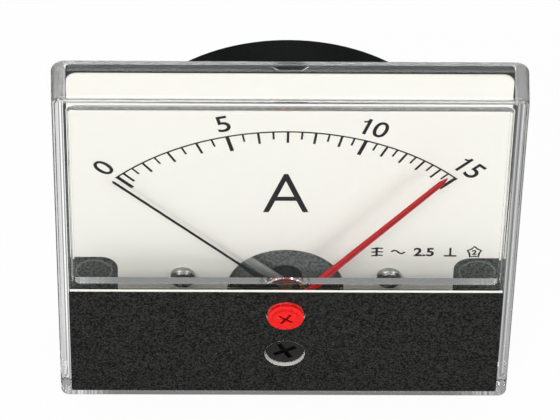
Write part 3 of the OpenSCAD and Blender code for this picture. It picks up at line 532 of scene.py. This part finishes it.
# %% Pieces with rounded edges
EDGES = {
    "clear_cover": (0.7, 5), "lower_mask": (0.06, 2), "rear_case": (0.06, 2), "dial_plate": (0.05, 1),
    "dial_screws": (0.3, 3), "plate_screws": (0.06, 1), "bridge_screws": (0.06, 1),
    "front_bridge": (0.08, 1), "terminal_washers": (0.12, 2), "terminal_nuts": (0.35, 2),
    "terminal_lugs": (0.1, 1), "set_screw": (0.2, 3), "set_hand": (0.06, 1), "zero_screw": (0.12, 3),
    "pointer": (0.03, 1), "damping_lid": (0.06, 1), "movement_plate": (0.1, 1),
}
for node, (width, segments) in EDGES.items():
    share_of = cover_share if node == "clear_cover" else even_share
    mesh = rounded(merged_copy(node), width, segments, share_of)
    as_piece(node + "_round", mesh, body_of[node], slot_of[node], [node])
print(len(EDGES), "pieces with rounded edges")

# %% [markdown]
# ## The scale's ticks
# A printed scale is one mark repeated by a rule. Each tick could be placed by hand from a list of angles,
# but on this kind of meter the marks follow a rule too: they are a little closer at both ends. Geometry
# Nodes hold that rule: a line of points is bent onto the arc, and every point gets a bar whose length and
# width depend on its number.

# %% Geometry Nodes helpers
def new_tree(name, sockets):
    """A geometry tree with named inputs, given as name and kind."""
    tree = bpy.data.node_groups.new(name, "GeometryNodeTree")
    tree.interface.new_socket("Geometry", in_out="INPUT", socket_type="NodeSocketGeometry")
    for label, kind in sockets.items():
        tree.interface.new_socket(label, in_out="INPUT", socket_type="NodeSocket" + kind)
    tree.interface.new_socket("Geometry", in_out="OUTPUT", socket_type="NodeSocketGeometry")
    entry = tree.nodes.new("NodeGroupInput")
    given = {label: Sock(tree, entry.outputs[label]) for label in ["Geometry", *sockets]}
    return Sock(tree), given


def close_tree(start, geometry, material):
    """Ends a tree in real geometry with its material."""
    solid = start.node("GeometryNodeRealizeInstances", Geometry=geometry)
    painted = start.node("GeometryNodeSetMaterial", Geometry=solid, Material=material)
    end = start.tree.nodes.new("NodeGroupOutput")
    start.feed(end.inputs[0], painted)


def grown(tree, points, values):
    """A plain mesh that the tree makes from points, with its inputs set by identifier."""
    seed = bpy.data.meshes.new("seed")
    seed.from_pydata(points, [], [])
    carrier = bpy.data.objects.new("carrier", seed)
    modifier = carrier.modifiers.new("grow", "NODES")
    modifier.node_group = tree
    for item in tree.interface.items_tree:
        if item.in_out == "INPUT" and item.name in values:
            modifier[item.identifier] = values[item.name]
    bpy.context.scene.collection.objects.link(carrier)
    mesh = evaluated(carrier)
    carrier.modifiers.remove(modifier)
    bpy.data.objects.remove(carrier)
    return mesh


print("geometry tree helpers ready")

# %% Ticks on the arc
PRINT_FRONT = -2.03 * MM
INK = 0.02 * MM
SCALE_X = -0.25 * MM
SCALE_R = 41.6 * MM
SCALE_SPAN = math.radians(88.9)
SCALE_BEND = 0.047
BEND_POWER = 0.6
AMPERES = 15
TICKS = 2 * AMPERES + 1

start, given = new_tree("scale_ticks", {
    "Count": "Int", "Radius": "Float", "Span": "Float", "Bend": "Float",
    "Long": "Float", "Middle": "Float", "Short": "Float",
    "Wide": "Float", "Medium": "Float", "Thin": "Float", "Ink": "Float", "Material": "Material",
})
index = start.node("GeometryNodeInputIndex")
share = index / (given["Count"] - 1)
turn = start.math("SINE", (share ** BEND_POWER) * math.tau)
angle = (share - given["Bend"] * turn - 0.5) * given["Span"]
fifth = (index % 10) < 0.5
whole = (index % 2) < 0.5


def by_number(half_ampere, whole_ampere, fifth_ampere):
    """One of three sizes, by the tick's number."""
    return half_ampere + (whole_ampere - half_ampere) * whole + (fifth_ampere - whole_ampere) * fifth


length = by_number(given["Short"], given["Middle"], given["Long"])
width = by_number(given["Thin"], given["Medium"], given["Wide"])
reach = given["Radius"] - length / 2
tick_x = reach * start.math("SINE", angle) + SCALE_X
tick_z = reach * start.math("COSINE", angle) + PIVOT_Z * MM
place = start.node("ShaderNodeCombineXYZ", X=tick_x, Y=PRINT_FRONT, Z=tick_z)
line = start.node("GeometryNodeMeshLine", Count=given["Count"])
bent = start.node("GeometryNodeSetPosition", Geometry=line, Position=place)
bar = start.node("GeometryNodeMeshCube", Size=(1.0, 1.0, 1.0))
lean = start.node("FunctionNodeEulerToRotation", Euler=start.node("ShaderNodeCombineXYZ", Y=angle))
size = start.node("ShaderNodeCombineXYZ", X=width, Y=given["Ink"], Z=length)
bars = start.node("GeometryNodeInstanceOnPoints", Points=bent, Instance=bar, Rotation=lean, Scale=size)
close_tree(start, bars, given["Material"])
ticks = grown(start.tree, [(0, 0, 0)], {
    "Count": TICKS, "Radius": SCALE_R, "Span": SCALE_SPAN, "Bend": SCALE_BEND,
    "Long": 3.8 * MM, "Middle": 2.8 * MM, "Short": 1.9 * MM,
    "Wide": 0.65 * MM, "Medium": 0.42 * MM, "Thin": 0.34 * MM, "Ink": INK,
    "Material": looks["pointer_black"],
})
as_piece("scale_ticks", ticks, "case", "pointer_black")
print(TICKS, "ticks")

# %% [markdown]
# ## The rest of the print
# Numbers, the unit letter and the usual meter signs are silk-screened in black. Text objects with the
# built-in font give the round letters; each is made into a mesh, scaled to its measured height and laid
# just in front of the dial. Signs, the scale's line and the figure one, which the font draws too wide,
# are strokes: a list of points becomes a flat ribbon. All of it is gathered in one mesh, as one print is.

# %% Strokes of ink
ink_points, ink_faces = [], []


def add_ink(flat, faces, at, angle):
    """Adds faces to the print: points in a plane as x and z, turned by angle and moved onto the dial."""
    first = len(ink_points)
    c, s = math.cos(angle), math.sin(angle)
    at_x, at_z = at[0] * MM, at[1] * MM
    ink_points.extend((at_x + x * c + z * s, PRINT_FRONT, at_z - x * s + z * c) for x, z in flat)
    ink_faces.extend([i + first for i in face] for face in faces)


def stroke(path, width, at=(0.0, 0.0), closed=False, angle=0.0):
    """A ribbon of ink along a path of x and z points in millimetres."""
    n = len(path)
    sides = []
    for i, (x, z) in enumerate(path):
        before = path[i - 1] if closed or i else path[i]
        after = path[(i + 1) % n] if closed or i < n - 1 else path[i]
        dx, dz = after[0] - before[0], after[1] - before[1]
        size = math.hypot(dx, dz)
        nx, nz = -dz / size * width / 2, dx / size * width / 2
        sides += [((x + nx) * MM, (z + nz) * MM), ((x - nx) * MM, (z - nz) * MM)]
    links = range(n if closed else n - 1)
    faces = [[2 * i, 2 * i + 1, (2 * i + 3) % (2 * n), (2 * i + 2) % (2 * n)] for i in links]
    add_ink(sides, faces, at, angle)


def on_arc(radius, degrees):
    """A place of the dial, from its distance to the pivot and its angle from upright."""
    a = math.radians(degrees)
    return SCALE_X / MM + radius * math.sin(a), PIVOT_Z + radius * math.cos(a)


print("strokes lie at", PRINT_FRONT / MM, "mm")


# %% Letters of ink
def letters(text, height, at, angle=0.0, width=None, bold=0.0):
    """Text of a given height in millimetres, centred on a place of the dial."""
    curve = bpy.data.curves.new("letters", "FONT")
    curve.body = text
    curve.offset = bold
    holder = bpy.data.objects.new("letters", curve)
    bpy.context.scene.collection.objects.link(holder)
    mesh = evaluated(holder)
    bpy.data.objects.remove(holder)
    flat = [v.co for v in mesh.vertices]
    low = [min(v[i] for v in flat) for i in (0, 1)]
    high = [max(v[i] for v in flat) for i in (0, 1)]
    grow_z = height * MM / (high[1] - low[1])
    grow_x = width * MM / (high[0] - low[0]) if width else grow_z
    centre = [(low[i] + high[i]) / 2 for i in (0, 1)]
    moved = [((v[0] - centre[0]) * grow_x, (v[1] - centre[1]) * grow_z) for v in flat]
    add_ink(moved, [list(p.vertices) for p in mesh.polygons], at, angle)


DIGIT_H = 4.0
DIGIT_BOLD = 0.008
DIGITS = (
    ("0", 45.0, -44.4, -44.4), ("5", 44.9, -14.2, -14.2),
    ("0", 45.1, 20.6, 18.8), ("5", 45.2, 45.7, 44.2),
)
ONES = ((45.1, 17.5, 18.8), (45.1, 42.5, 44.2))
ONE_STEM = [(0.0, -DIGIT_H / 2), (0.0, DIGIT_H / 2)]
ONE_FLAG = [(-0.95, 1.05), (-0.5, 1.15), (-0.15, 1.45), (0.0, DIGIT_H / 2)]
STEM_WIDE, FLAG_WIDE = 0.6, 0.42
UNIT_AT, UNIT_H, UNIT_WIDE, UNIT_BOLD = (-0.25, 9.0), 10.1, 7.9, -0.008
ARC_WIDE = 0.32
for digit, radius, place, lean in DIGITS:
    letters(digit, DIGIT_H, on_arc(radius, place), math.radians(lean), bold=DIGIT_BOLD)
for radius, place, lean in ONES:
    stroke(ONE_STEM, STEM_WIDE, on_arc(radius, place), angle=math.radians(lean))
    stroke(ONE_FLAG, FLAG_WIDE, on_arc(radius, place), angle=math.radians(lean))
letters("A", UNIT_H, UNIT_AT, width=UNIT_WIDE, bold=UNIT_BOLD)
stroke([on_arc(SCALE_R / MM, degrees) for degrees in range(-45, 46)], ARC_WIDE)
print(len(ink_faces), "faces of ink")

# %% [markdown]
# The row of signs under the scale says how the meter works: moving iron, alternating current, accuracy
# class, upright use and test voltage in its star. They are only a few millimetres wide, so their sizes
# are written in the strokes themselves, around each sign's place in the row.

# %% The signs beside the movement
SIGN_Z = -6.7
IRON_X, WAVE_X, CLASS_X, UPRIGHT_X, STAR_X = 15.87, 19.62, 24.15, 28.81, 33.03
stroke([(0.0, -1.2), (0.0, 1.2)], 0.42, (IRON_X, SIGN_Z))
for level in (-0.95, 0.0, 0.95):
    stroke([(-0.9, level - 0.12), (0.1, level + 0.08), (1.1, level)], 0.33, (IRON_X, SIGN_Z))
WAVE_HALF, WAVE_HIGH, WAVE_STEPS = 1.2, 0.42, 12
wave_x = [WAVE_HALF * (2 * i / WAVE_STEPS - 1) for i in range(WAVE_STEPS + 1)]
stroke([(x, -WAVE_HIGH * math.sin(math.pi * x / WAVE_HALF)) for x in wave_x], 0.36, (WAVE_X, SIGN_Z))
letters("2.5", 2.3, (CLASS_X, SIGN_Z), bold=0.03)
stroke([(0.0, -1.0), (0.0, 1.2)], 0.36, (UPRIGHT_X, SIGN_Z))
stroke([(-1.1, -1.0), (1.1, -1.0)], 0.4, (UPRIGHT_X, SIGN_Z))
STAR_TIP, STAR_NOTCH, STAR_NARROW = 1.55, 1.08, 0.82
star = []
for i in range(10):
    r = STAR_NOTCH if i % 2 else STAR_TIP
    a = math.tau * i / 10
    star.append((STAR_NARROW * r * math.sin(a), r * math.cos(a)))
stroke(star, 0.34, (STAR_X, SIGN_Z), closed=True)
letters("2", 1.3, (STAR_X, SIGN_Z - 0.05), bold=0.035)
ink = bpy.data.meshes.new("dial_print")
ink.from_pydata(ink_points, [], ink_faces)
as_piece("dial_print", ink, "case", "pointer_black")
print(len(ink.polygons), "faces of print")

# %% [markdown]
# ## White edges of the mask
# The black mask has a thin white line along its upper edge, where it meets the window. It is a flat white
# strip of its own just above the mask. The clear wall of the zero screw's hole catches the light and shows
# as a white crescent. That light is painted: a thin white tube lines the hole, since a second finish on the
# mask would need a cut in its mesh.

# %% The mask's white line and the hole's white wall
MASK_TOP = -10.4
LINE_HIGH = 0.6
LINE_HALF = 37.9
LINE_FRONT = -8.86
line_top = MASK_TOP + LINE_HIGH
corners = ((-LINE_HALF, MASK_TOP), (LINE_HALF, MASK_TOP), (LINE_HALF, line_top), (-LINE_HALF, line_top))
line = bpy.data.meshes.new("mask_line")
line.from_pydata([(x * MM, LINE_FRONT * MM, z * MM) for x, z in corners], [], [(0, 1, 2, 3)])
as_piece("mask_line", line, "case", "dial_white")

# Painted light: the white tube stands for the light that the hole's clear wall catches.
HOLE_R = 3.58
HOLE_FRONT, HOLE_BACK = -8.98, -8.1
HOLE_SIDES = 64
tube_points, tube_faces = [], []
for i in range(HOLE_SIDES):
    a = math.tau * i / HOLE_SIDES
    x, z = HOLE_R * math.sin(a), ZERO_Z + HOLE_R * math.cos(a)
    tube_points += [(x * MM, y * MM, z * MM) for y in (HOLE_FRONT, HOLE_BACK)]
    this, following = 2 * i, 2 * (i + 1) % (2 * HOLE_SIDES)
    tube_faces.append((this, this + 1, following + 1, following))
hole = bpy.data.meshes.new("hole_wall")
hole.from_pydata(tube_points, [], tube_faces)
as_piece("hole_wall", hole, "case", "dial_white")
print("white line", LINE_HIGH, "mm high, hole of radius", HOLE_R, "mm")

# %% [markdown]
# ## Threads and windings
# The mounting studs and the terminal studs carry rolled threads, and the coil is a few turns of thick
# wire. A Screw modifier could make each of them, but both are a bar swept along a helix, so one tree makes
# both: a four-sided bar gives the ridge of a thread, a round bar gives the wire. The plain core is turned
# from an outline.

# %% A bar along a helix
start, given = new_tree("helix", {
    "Radius": "Float", "Length": "Float", "Turns": "Float", "Steps": "Int",
    "Bar": "Float", "Sides": "Int", "Material": "Material",
})
path = start.node(
    "GeometryNodeCurveSpiral", Resolution=given["Steps"], Rotations=given["Turns"],
    Start_Radius=given["Radius"], End_Radius=given["Radius"], Height=given["Length"],
)
upright = start.node("GeometryNodeSetCurveNormal", settings={"mode": "Z_UP"}, Curve=path)
profile = start.node("GeometryNodeCurvePrimitiveCircle", Resolution=given["Sides"], Radius=given["Bar"])
sweep = start.node("GeometryNodeCurveToMesh", Curve=upright, Profile_Curve=profile, Fill_Caps=True)
laid = start.node("GeometryNodeTransform", Geometry=sweep, Rotation=(-math.pi / 2, 0, 0))
copies = start.node("GeometryNodeInstanceOnPoints", Points=given["Geometry"], Instance=laid)
close_tree(start, copies, given["Material"])
helix = start.tree
print("helix tree with", len(helix.nodes), "nodes")


# %% Turned cores
def turned(outline, sites, steps=40):
    """Points and faces of a piece turned about Y, from radius and y in millimetres, at each site."""
    points, faces = [], []
    for x, z in sites:
        base = len(points)
        for r, y in outline:
            for i in range(steps):
                a = math.tau * i / steps
                points.append(((x + r * math.sin(a)) * MM, y * MM, (z + r * math.cos(a)) * MM))
        for row in range(len(outline) - 1):
            a, b = base + row * steps, base + (row + 1) * steps
            for i in range(steps):
                j = (i + 1) % steps
                faces.append([a + i, b + i, b + j, a + j])
        faces.append([base + i for i in range(steps)])
        last = base + (len(outline) - 1) * steps
        faces.append([last + i for i in reversed(range(steps))])
    return points, faces


def core_mesh(points, faces):
    """A mesh of a turned core."""
    core = bpy.data.meshes.new("core")
    core.from_pydata(points, [], faces)
    return core


def joined(*meshes):
    """One mesh from several."""
    whole_piece = bmesh.new()
    for mesh in meshes:
        whole_piece.from_mesh(mesh)
    result = bpy.data.meshes.new("joined")
    whole_piece.to_mesh(result)
    whole_piece.free()
    return result


print("lathe ready")

# %% Threaded studs
THREAD_STEPS = 24
THREAD_SIDES = 4
STUDS = [(x, z) for x in (-34.0, 34.0) for z in (-11.6, 11.6)]
STUD_OUTLINE = [(2.3, -1.2), (2.3, 0.0), (1.24, 0.0), (1.24, 15.7), (0.9, 16.0)]
STUD_R, STUD_PITCH, STUD_THREAD = 1.5, 0.5, (0.3, 15.6)
TERMINALS = [(-16.0, -2.0), (16.0, -2.0)]
TERMINAL_OUTLINE = [(3.8, 9.4), (4.0, 9.6), (4.0, 11.4), (2.1, 11.4), (2.1, 29.5), (1.6, 30.0)]
TERMINAL_R, TERMINAL_PITCH, TERMINAL_THREAD = 2.5, 0.8, (12.4, 29.4)


def threaded(node, outline, sites, r, pitch, ends):
    """A turned core with a thread of outer radius r between its ends."""
    bar = pitch / 2
    long = ends[1] - ends[0] - 2 * bar
    ridge = grown(helix, [(x * MM, (ends[0] + bar) * MM, z * MM) for x, z in sites], {
        "Radius": (r - bar) * MM, "Length": long * MM, "Turns": long / pitch, "Steps": THREAD_STEPS,
        "Bar": bar * MM, "Sides": THREAD_SIDES, "Material": looks[slot_of[node]],
    })
    mesh = joined(core_mesh(*turned(outline, sites)), ridge)
    mesh.set_sharp_from_angle(angle=SHARP_ANGLE)
    as_piece(node + "_thread", mesh, body_of[node], slot_of[node], [node])


threaded("mounting_studs", STUD_OUTLINE, STUDS, STUD_R, STUD_PITCH, STUD_THREAD)
threaded("terminal_studs", TERMINAL_OUTLINE, TERMINALS, TERMINAL_R, TERMINAL_PITCH, TERMINAL_THREAD)
print(len(STUDS) + len(TERMINALS), "threaded studs")

# %% The coil's outer turns
WIRE = 0.8
WINDING_R, TUBE_R, WINDING_Y, WINDING_L = 9.8, 6.2, 4.6, 5.8
CORE_STEPS = 64
TURN_STEPS, WIRE_SIDES = 64, 16
WINDING_ANGLE = math.radians(40)
turn_r = WINDING_R - WIRE
turn_l = WINDING_L - 2 * WIRE
winding_end = WINDING_Y + WINDING_L
outline = [(TUBE_R, WINDING_Y), (turn_r, WINDING_Y), (turn_r, winding_end), (TUBE_R, winding_end),
           (TUBE_R, WINDING_Y)]
core_points, core_faces = turned(outline, [(0.0, PIVOT_Z)], CORE_STEPS)
turns = grown(helix, [(0.0, (WINDING_Y + WIRE) * MM, PIVOT_Z * MM)], {
    "Radius": turn_r * MM, "Length": turn_l * MM, "Turns": turn_l / (2 * WIRE), "Steps": TURN_STEPS,
    "Bar": WIRE * MM, "Sides": WIRE_SIDES, "Material": looks["copper"],
})
winding = joined(core_mesh(core_points, core_faces[:-2]), turns)
winding.polygons.foreach_set("use_smooth", [True] * len(winding.polygons))
winding.set_sharp_from_angle(angle=WINDING_ANGLE)
as_piece("coil_winding_turns", winding, "case", "copper", ["coil_winding"])
print("coil of", round(turn_l / (2 * WIRE), 1), "outer turns")

# %% [markdown]
# ## The pieces that keep their CAD shape
# Small pieces of the movement are hardly seen. They could be rounded too, but nobody would notice, so
# their CAD meshes stay and only take the better finish.

# %% Finishes for what is left
for name, node in nodes.items():
    node.data.materials[0] = looks[slot_of[name]]
print(len(nodes), "CAD nodes with finishes")

# %% [markdown]
# ## The floor
# A catalogue picture is cut out on white, and the meter keeps only a faint shadow. Strong light on white
# paper would do that, but it would bleach the dial too. So the floor shows itself white to the camera by
# its material, and a share of plain diffuse paper keeps the shadow. Rays that leave the clear plastic see
# greys instead, because clear walls vanish on pure white. These greys are painted shadow and light of the
# floor, which glow the same under any lamp: darkest right behind the meter, lighter to its sides, lighter
# on the left than on the right, and mid grey in front. Streaks in those greys fan out from below the
# camera, so they run along the walls like flow lines.

# %% Floor
FLOOR_Z = cad_low.z
FLOOR_HALF = 3.0
floor_corners = [(x * FLOOR_HALF, y * FLOOR_HALF, FLOOR_Z) for x, y in ((-1, -1), (1, -1), (1, 1), (-1, 1))]
floor_mesh = bpy.data.meshes.new("floor")
floor_mesh.from_pydata(floor_corners, [], [(0, 1, 2, 3)])
floor = bpy.data.objects.new("floor", floor_mesh)
bpy.context.scene.collection.objects.link(floor)
print("floor at", round(FLOOR_Z / MM, 1), "mm")

# %% Greys that the plastic sees
# Painted shadow and light: the greys glow for rays out of the plastic, dark where the meter shades the
# floor.
FRONT_GREY, MIDDLE_SHADOW_GREY, LEFT_GREY, RIGHT_GREY = 0.36, 0.08, 0.84, 0.5
LEFT_TO_RIGHT = (-30.0, 30.0)
MIDDLE_END = (30.0, 37.0)
FRONT_TO_BACK = (-20.0, 20.0)
STREAK = 0.5
STREAK_DARK, STREAK_LIGHT = 0.36, 1.5
STREAK_EDGE = (0.4, 0.6)
FAN_START = camera.matrix_world.translation
paper = bpy.data.materials.new("paper")
paper.use_nodes = True
tree = paper.node_tree
tree.nodes.remove(tree.nodes["Principled BSDF"])
start = Sock(tree)
spot = start.node("ShaderNodeTexCoord", output="Object")
floor_x = coordinate(spot, "X")
floor_y = coordinate(spot, "Y")
fan = (floor_x - FAN_START.x / MM) / (floor_y - FAN_START.y / MM) * -FAN_START.y
streaks = grain_of(start.node("ShaderNodeCombineXYZ", X=fan), STREAK, detail=1.0).between(*STREAK_EDGE)
side_grey = LEFT_GREY + (RIGHT_GREY - LEFT_GREY) * floor_x.between(*LEFT_TO_RIGHT)
side_grey = side_grey * (STREAK_DARK + (STREAK_LIGHT - STREAK_DARK) * streaks)
middle = 1.0 - start.math("ABSOLUTE", floor_x).between(*MIDDLE_END)
back_grey = side_grey + (MIDDLE_SHADOW_GREY - side_grey) * middle
grey = FRONT_GREY + (back_grey - FRONT_GREY) * floor_y.between(*FRONT_TO_BACK)
print("greys: front", FRONT_GREY, "middle", MIDDLE_SHADOW_GREY, "left", LEFT_GREY, "right", RIGHT_GREY)

# %% White paper for the camera
WHITE = (1.0, 1.0, 1.0, 1.0)
MIRRORED = (0.12, 0.12, 0.12, 1.0)
PAPER = (0.85, 0.85, 0.85, 1.0)
FLOOR_WHITE = 0.95


def ray_is(start, kind):
    """1 for rays of one kind, else 0."""
    return start.node("ShaderNodeLightPath", output="Is " + kind + " Ray")


def glow(start, colour):
    """A shader that shows its colour whatever the light."""
    return start.node("ShaderNodeEmission", Color=colour, Strength=1.0)


matt = start.node("ShaderNodeBsdfDiffuse", Color=PAPER)
to_camera = ray_is(start, "Camera") * FLOOR_WHITE
from_mirror = ray_is(start, "Glossy") * ray_is(start, "Reflection")
shown = start.node("ShaderNodeMixShader", i0=to_camera, i1=matt, i2=glow(start, WHITE))
shown = start.node("ShaderNodeMixShader", i0=ray_is(start, "Transmission"), i1=shown, i2=glow(start, grey))
shown = start.node("ShaderNodeMixShader", i0=from_mirror, i1=shown, i2=glow(start, MIRRORED))
start.feed(tree.nodes["Material Output"].inputs["Surface"], shown)
floor_mesh.materials.append(paper)
print("paper with", len(tree.nodes), "nodes")

# %% [markdown]
# ## White surroundings
# The world fills the shadows with an even soft light. It is white to the camera, but that white lights
# nothing, because only camera rays see it. Rays through the plastic see a grey that is darker behind the
# meter than above it.

# %% World
FILL = 0.42
BEHIND_GREY = 0.35
ABOVE_GREY = 0.6
HORIZON = (-0.1, 0.1)
world = bpy.data.worlds.new("studio")
world.use_nodes = True
bpy.context.scene.world = world
start = Sock(world.node_tree)
ray = start.node("ShaderNodeTexCoord", output="Generated")
away = ray.node("ShaderNodeSeparateXYZ", output="Y", Vector=ray).between(*HORIZON)
clear_level = ABOVE_GREY + (BEHIND_GREY - ABOVE_GREY) * away
seen = ray_is(start, "Camera") * (1.0 - FILL) + ray_is(start, "Transmission") * (clear_level - FILL)
sky = world.node_tree.nodes["Background"]
sky.inputs["Color"].default_value = WHITE
start.feed(sky.inputs["Strength"], FILL + seen)
print("world fills with", FILL)

# %% [markdown]
# ## Lamps
# A product table has large soft lamps, so that shadows stay faint and no small highlight burns out. Three
# square area lamps stand at the front left, at the front right and above. Their power is set so that the
# dial's white renders about as it is written. Light goes in and out of the cover's walls many times, so
# the number of bounces is raised.

# %% Lamps and bounces
BOUNCES = 40
LAMPS = {
    "key": ((-0.5, -0.9, 0.7), 0.5, 6.6),
    "fill": ((0.7, -0.8, 0.4), 0.5, 3.6),
    "top": ((0.0, 0.2, 1.0), 0.7, 4.1),
}
for name, (place, size, watts) in LAMPS.items():
    light = bpy.data.lights.new(name, "AREA")
    light.shape = "SQUARE"
    light.size = size
    light.energy = watts
    lamp = bpy.data.objects.new(name, light)
    lamp.location = place
    lamp.rotation_mode = "QUATERNION"
    lamp.rotation_quaternion = (-Vector(place)).to_track_quat("-Z", "Y")
    bpy.context.scene.collection.objects.link(lamp)
cycles = bpy.context.scene.cycles
cycles.max_bounces = BOUNCES
cycles.glossy_bounces = BOUNCES
cycles.transmission_bounces = BOUNCES
cycles.transparent_max_bounces = BOUNCES
bpy.context.scene.view_settings.view_transform = "Standard"
print(len(LAMPS), "lamps")
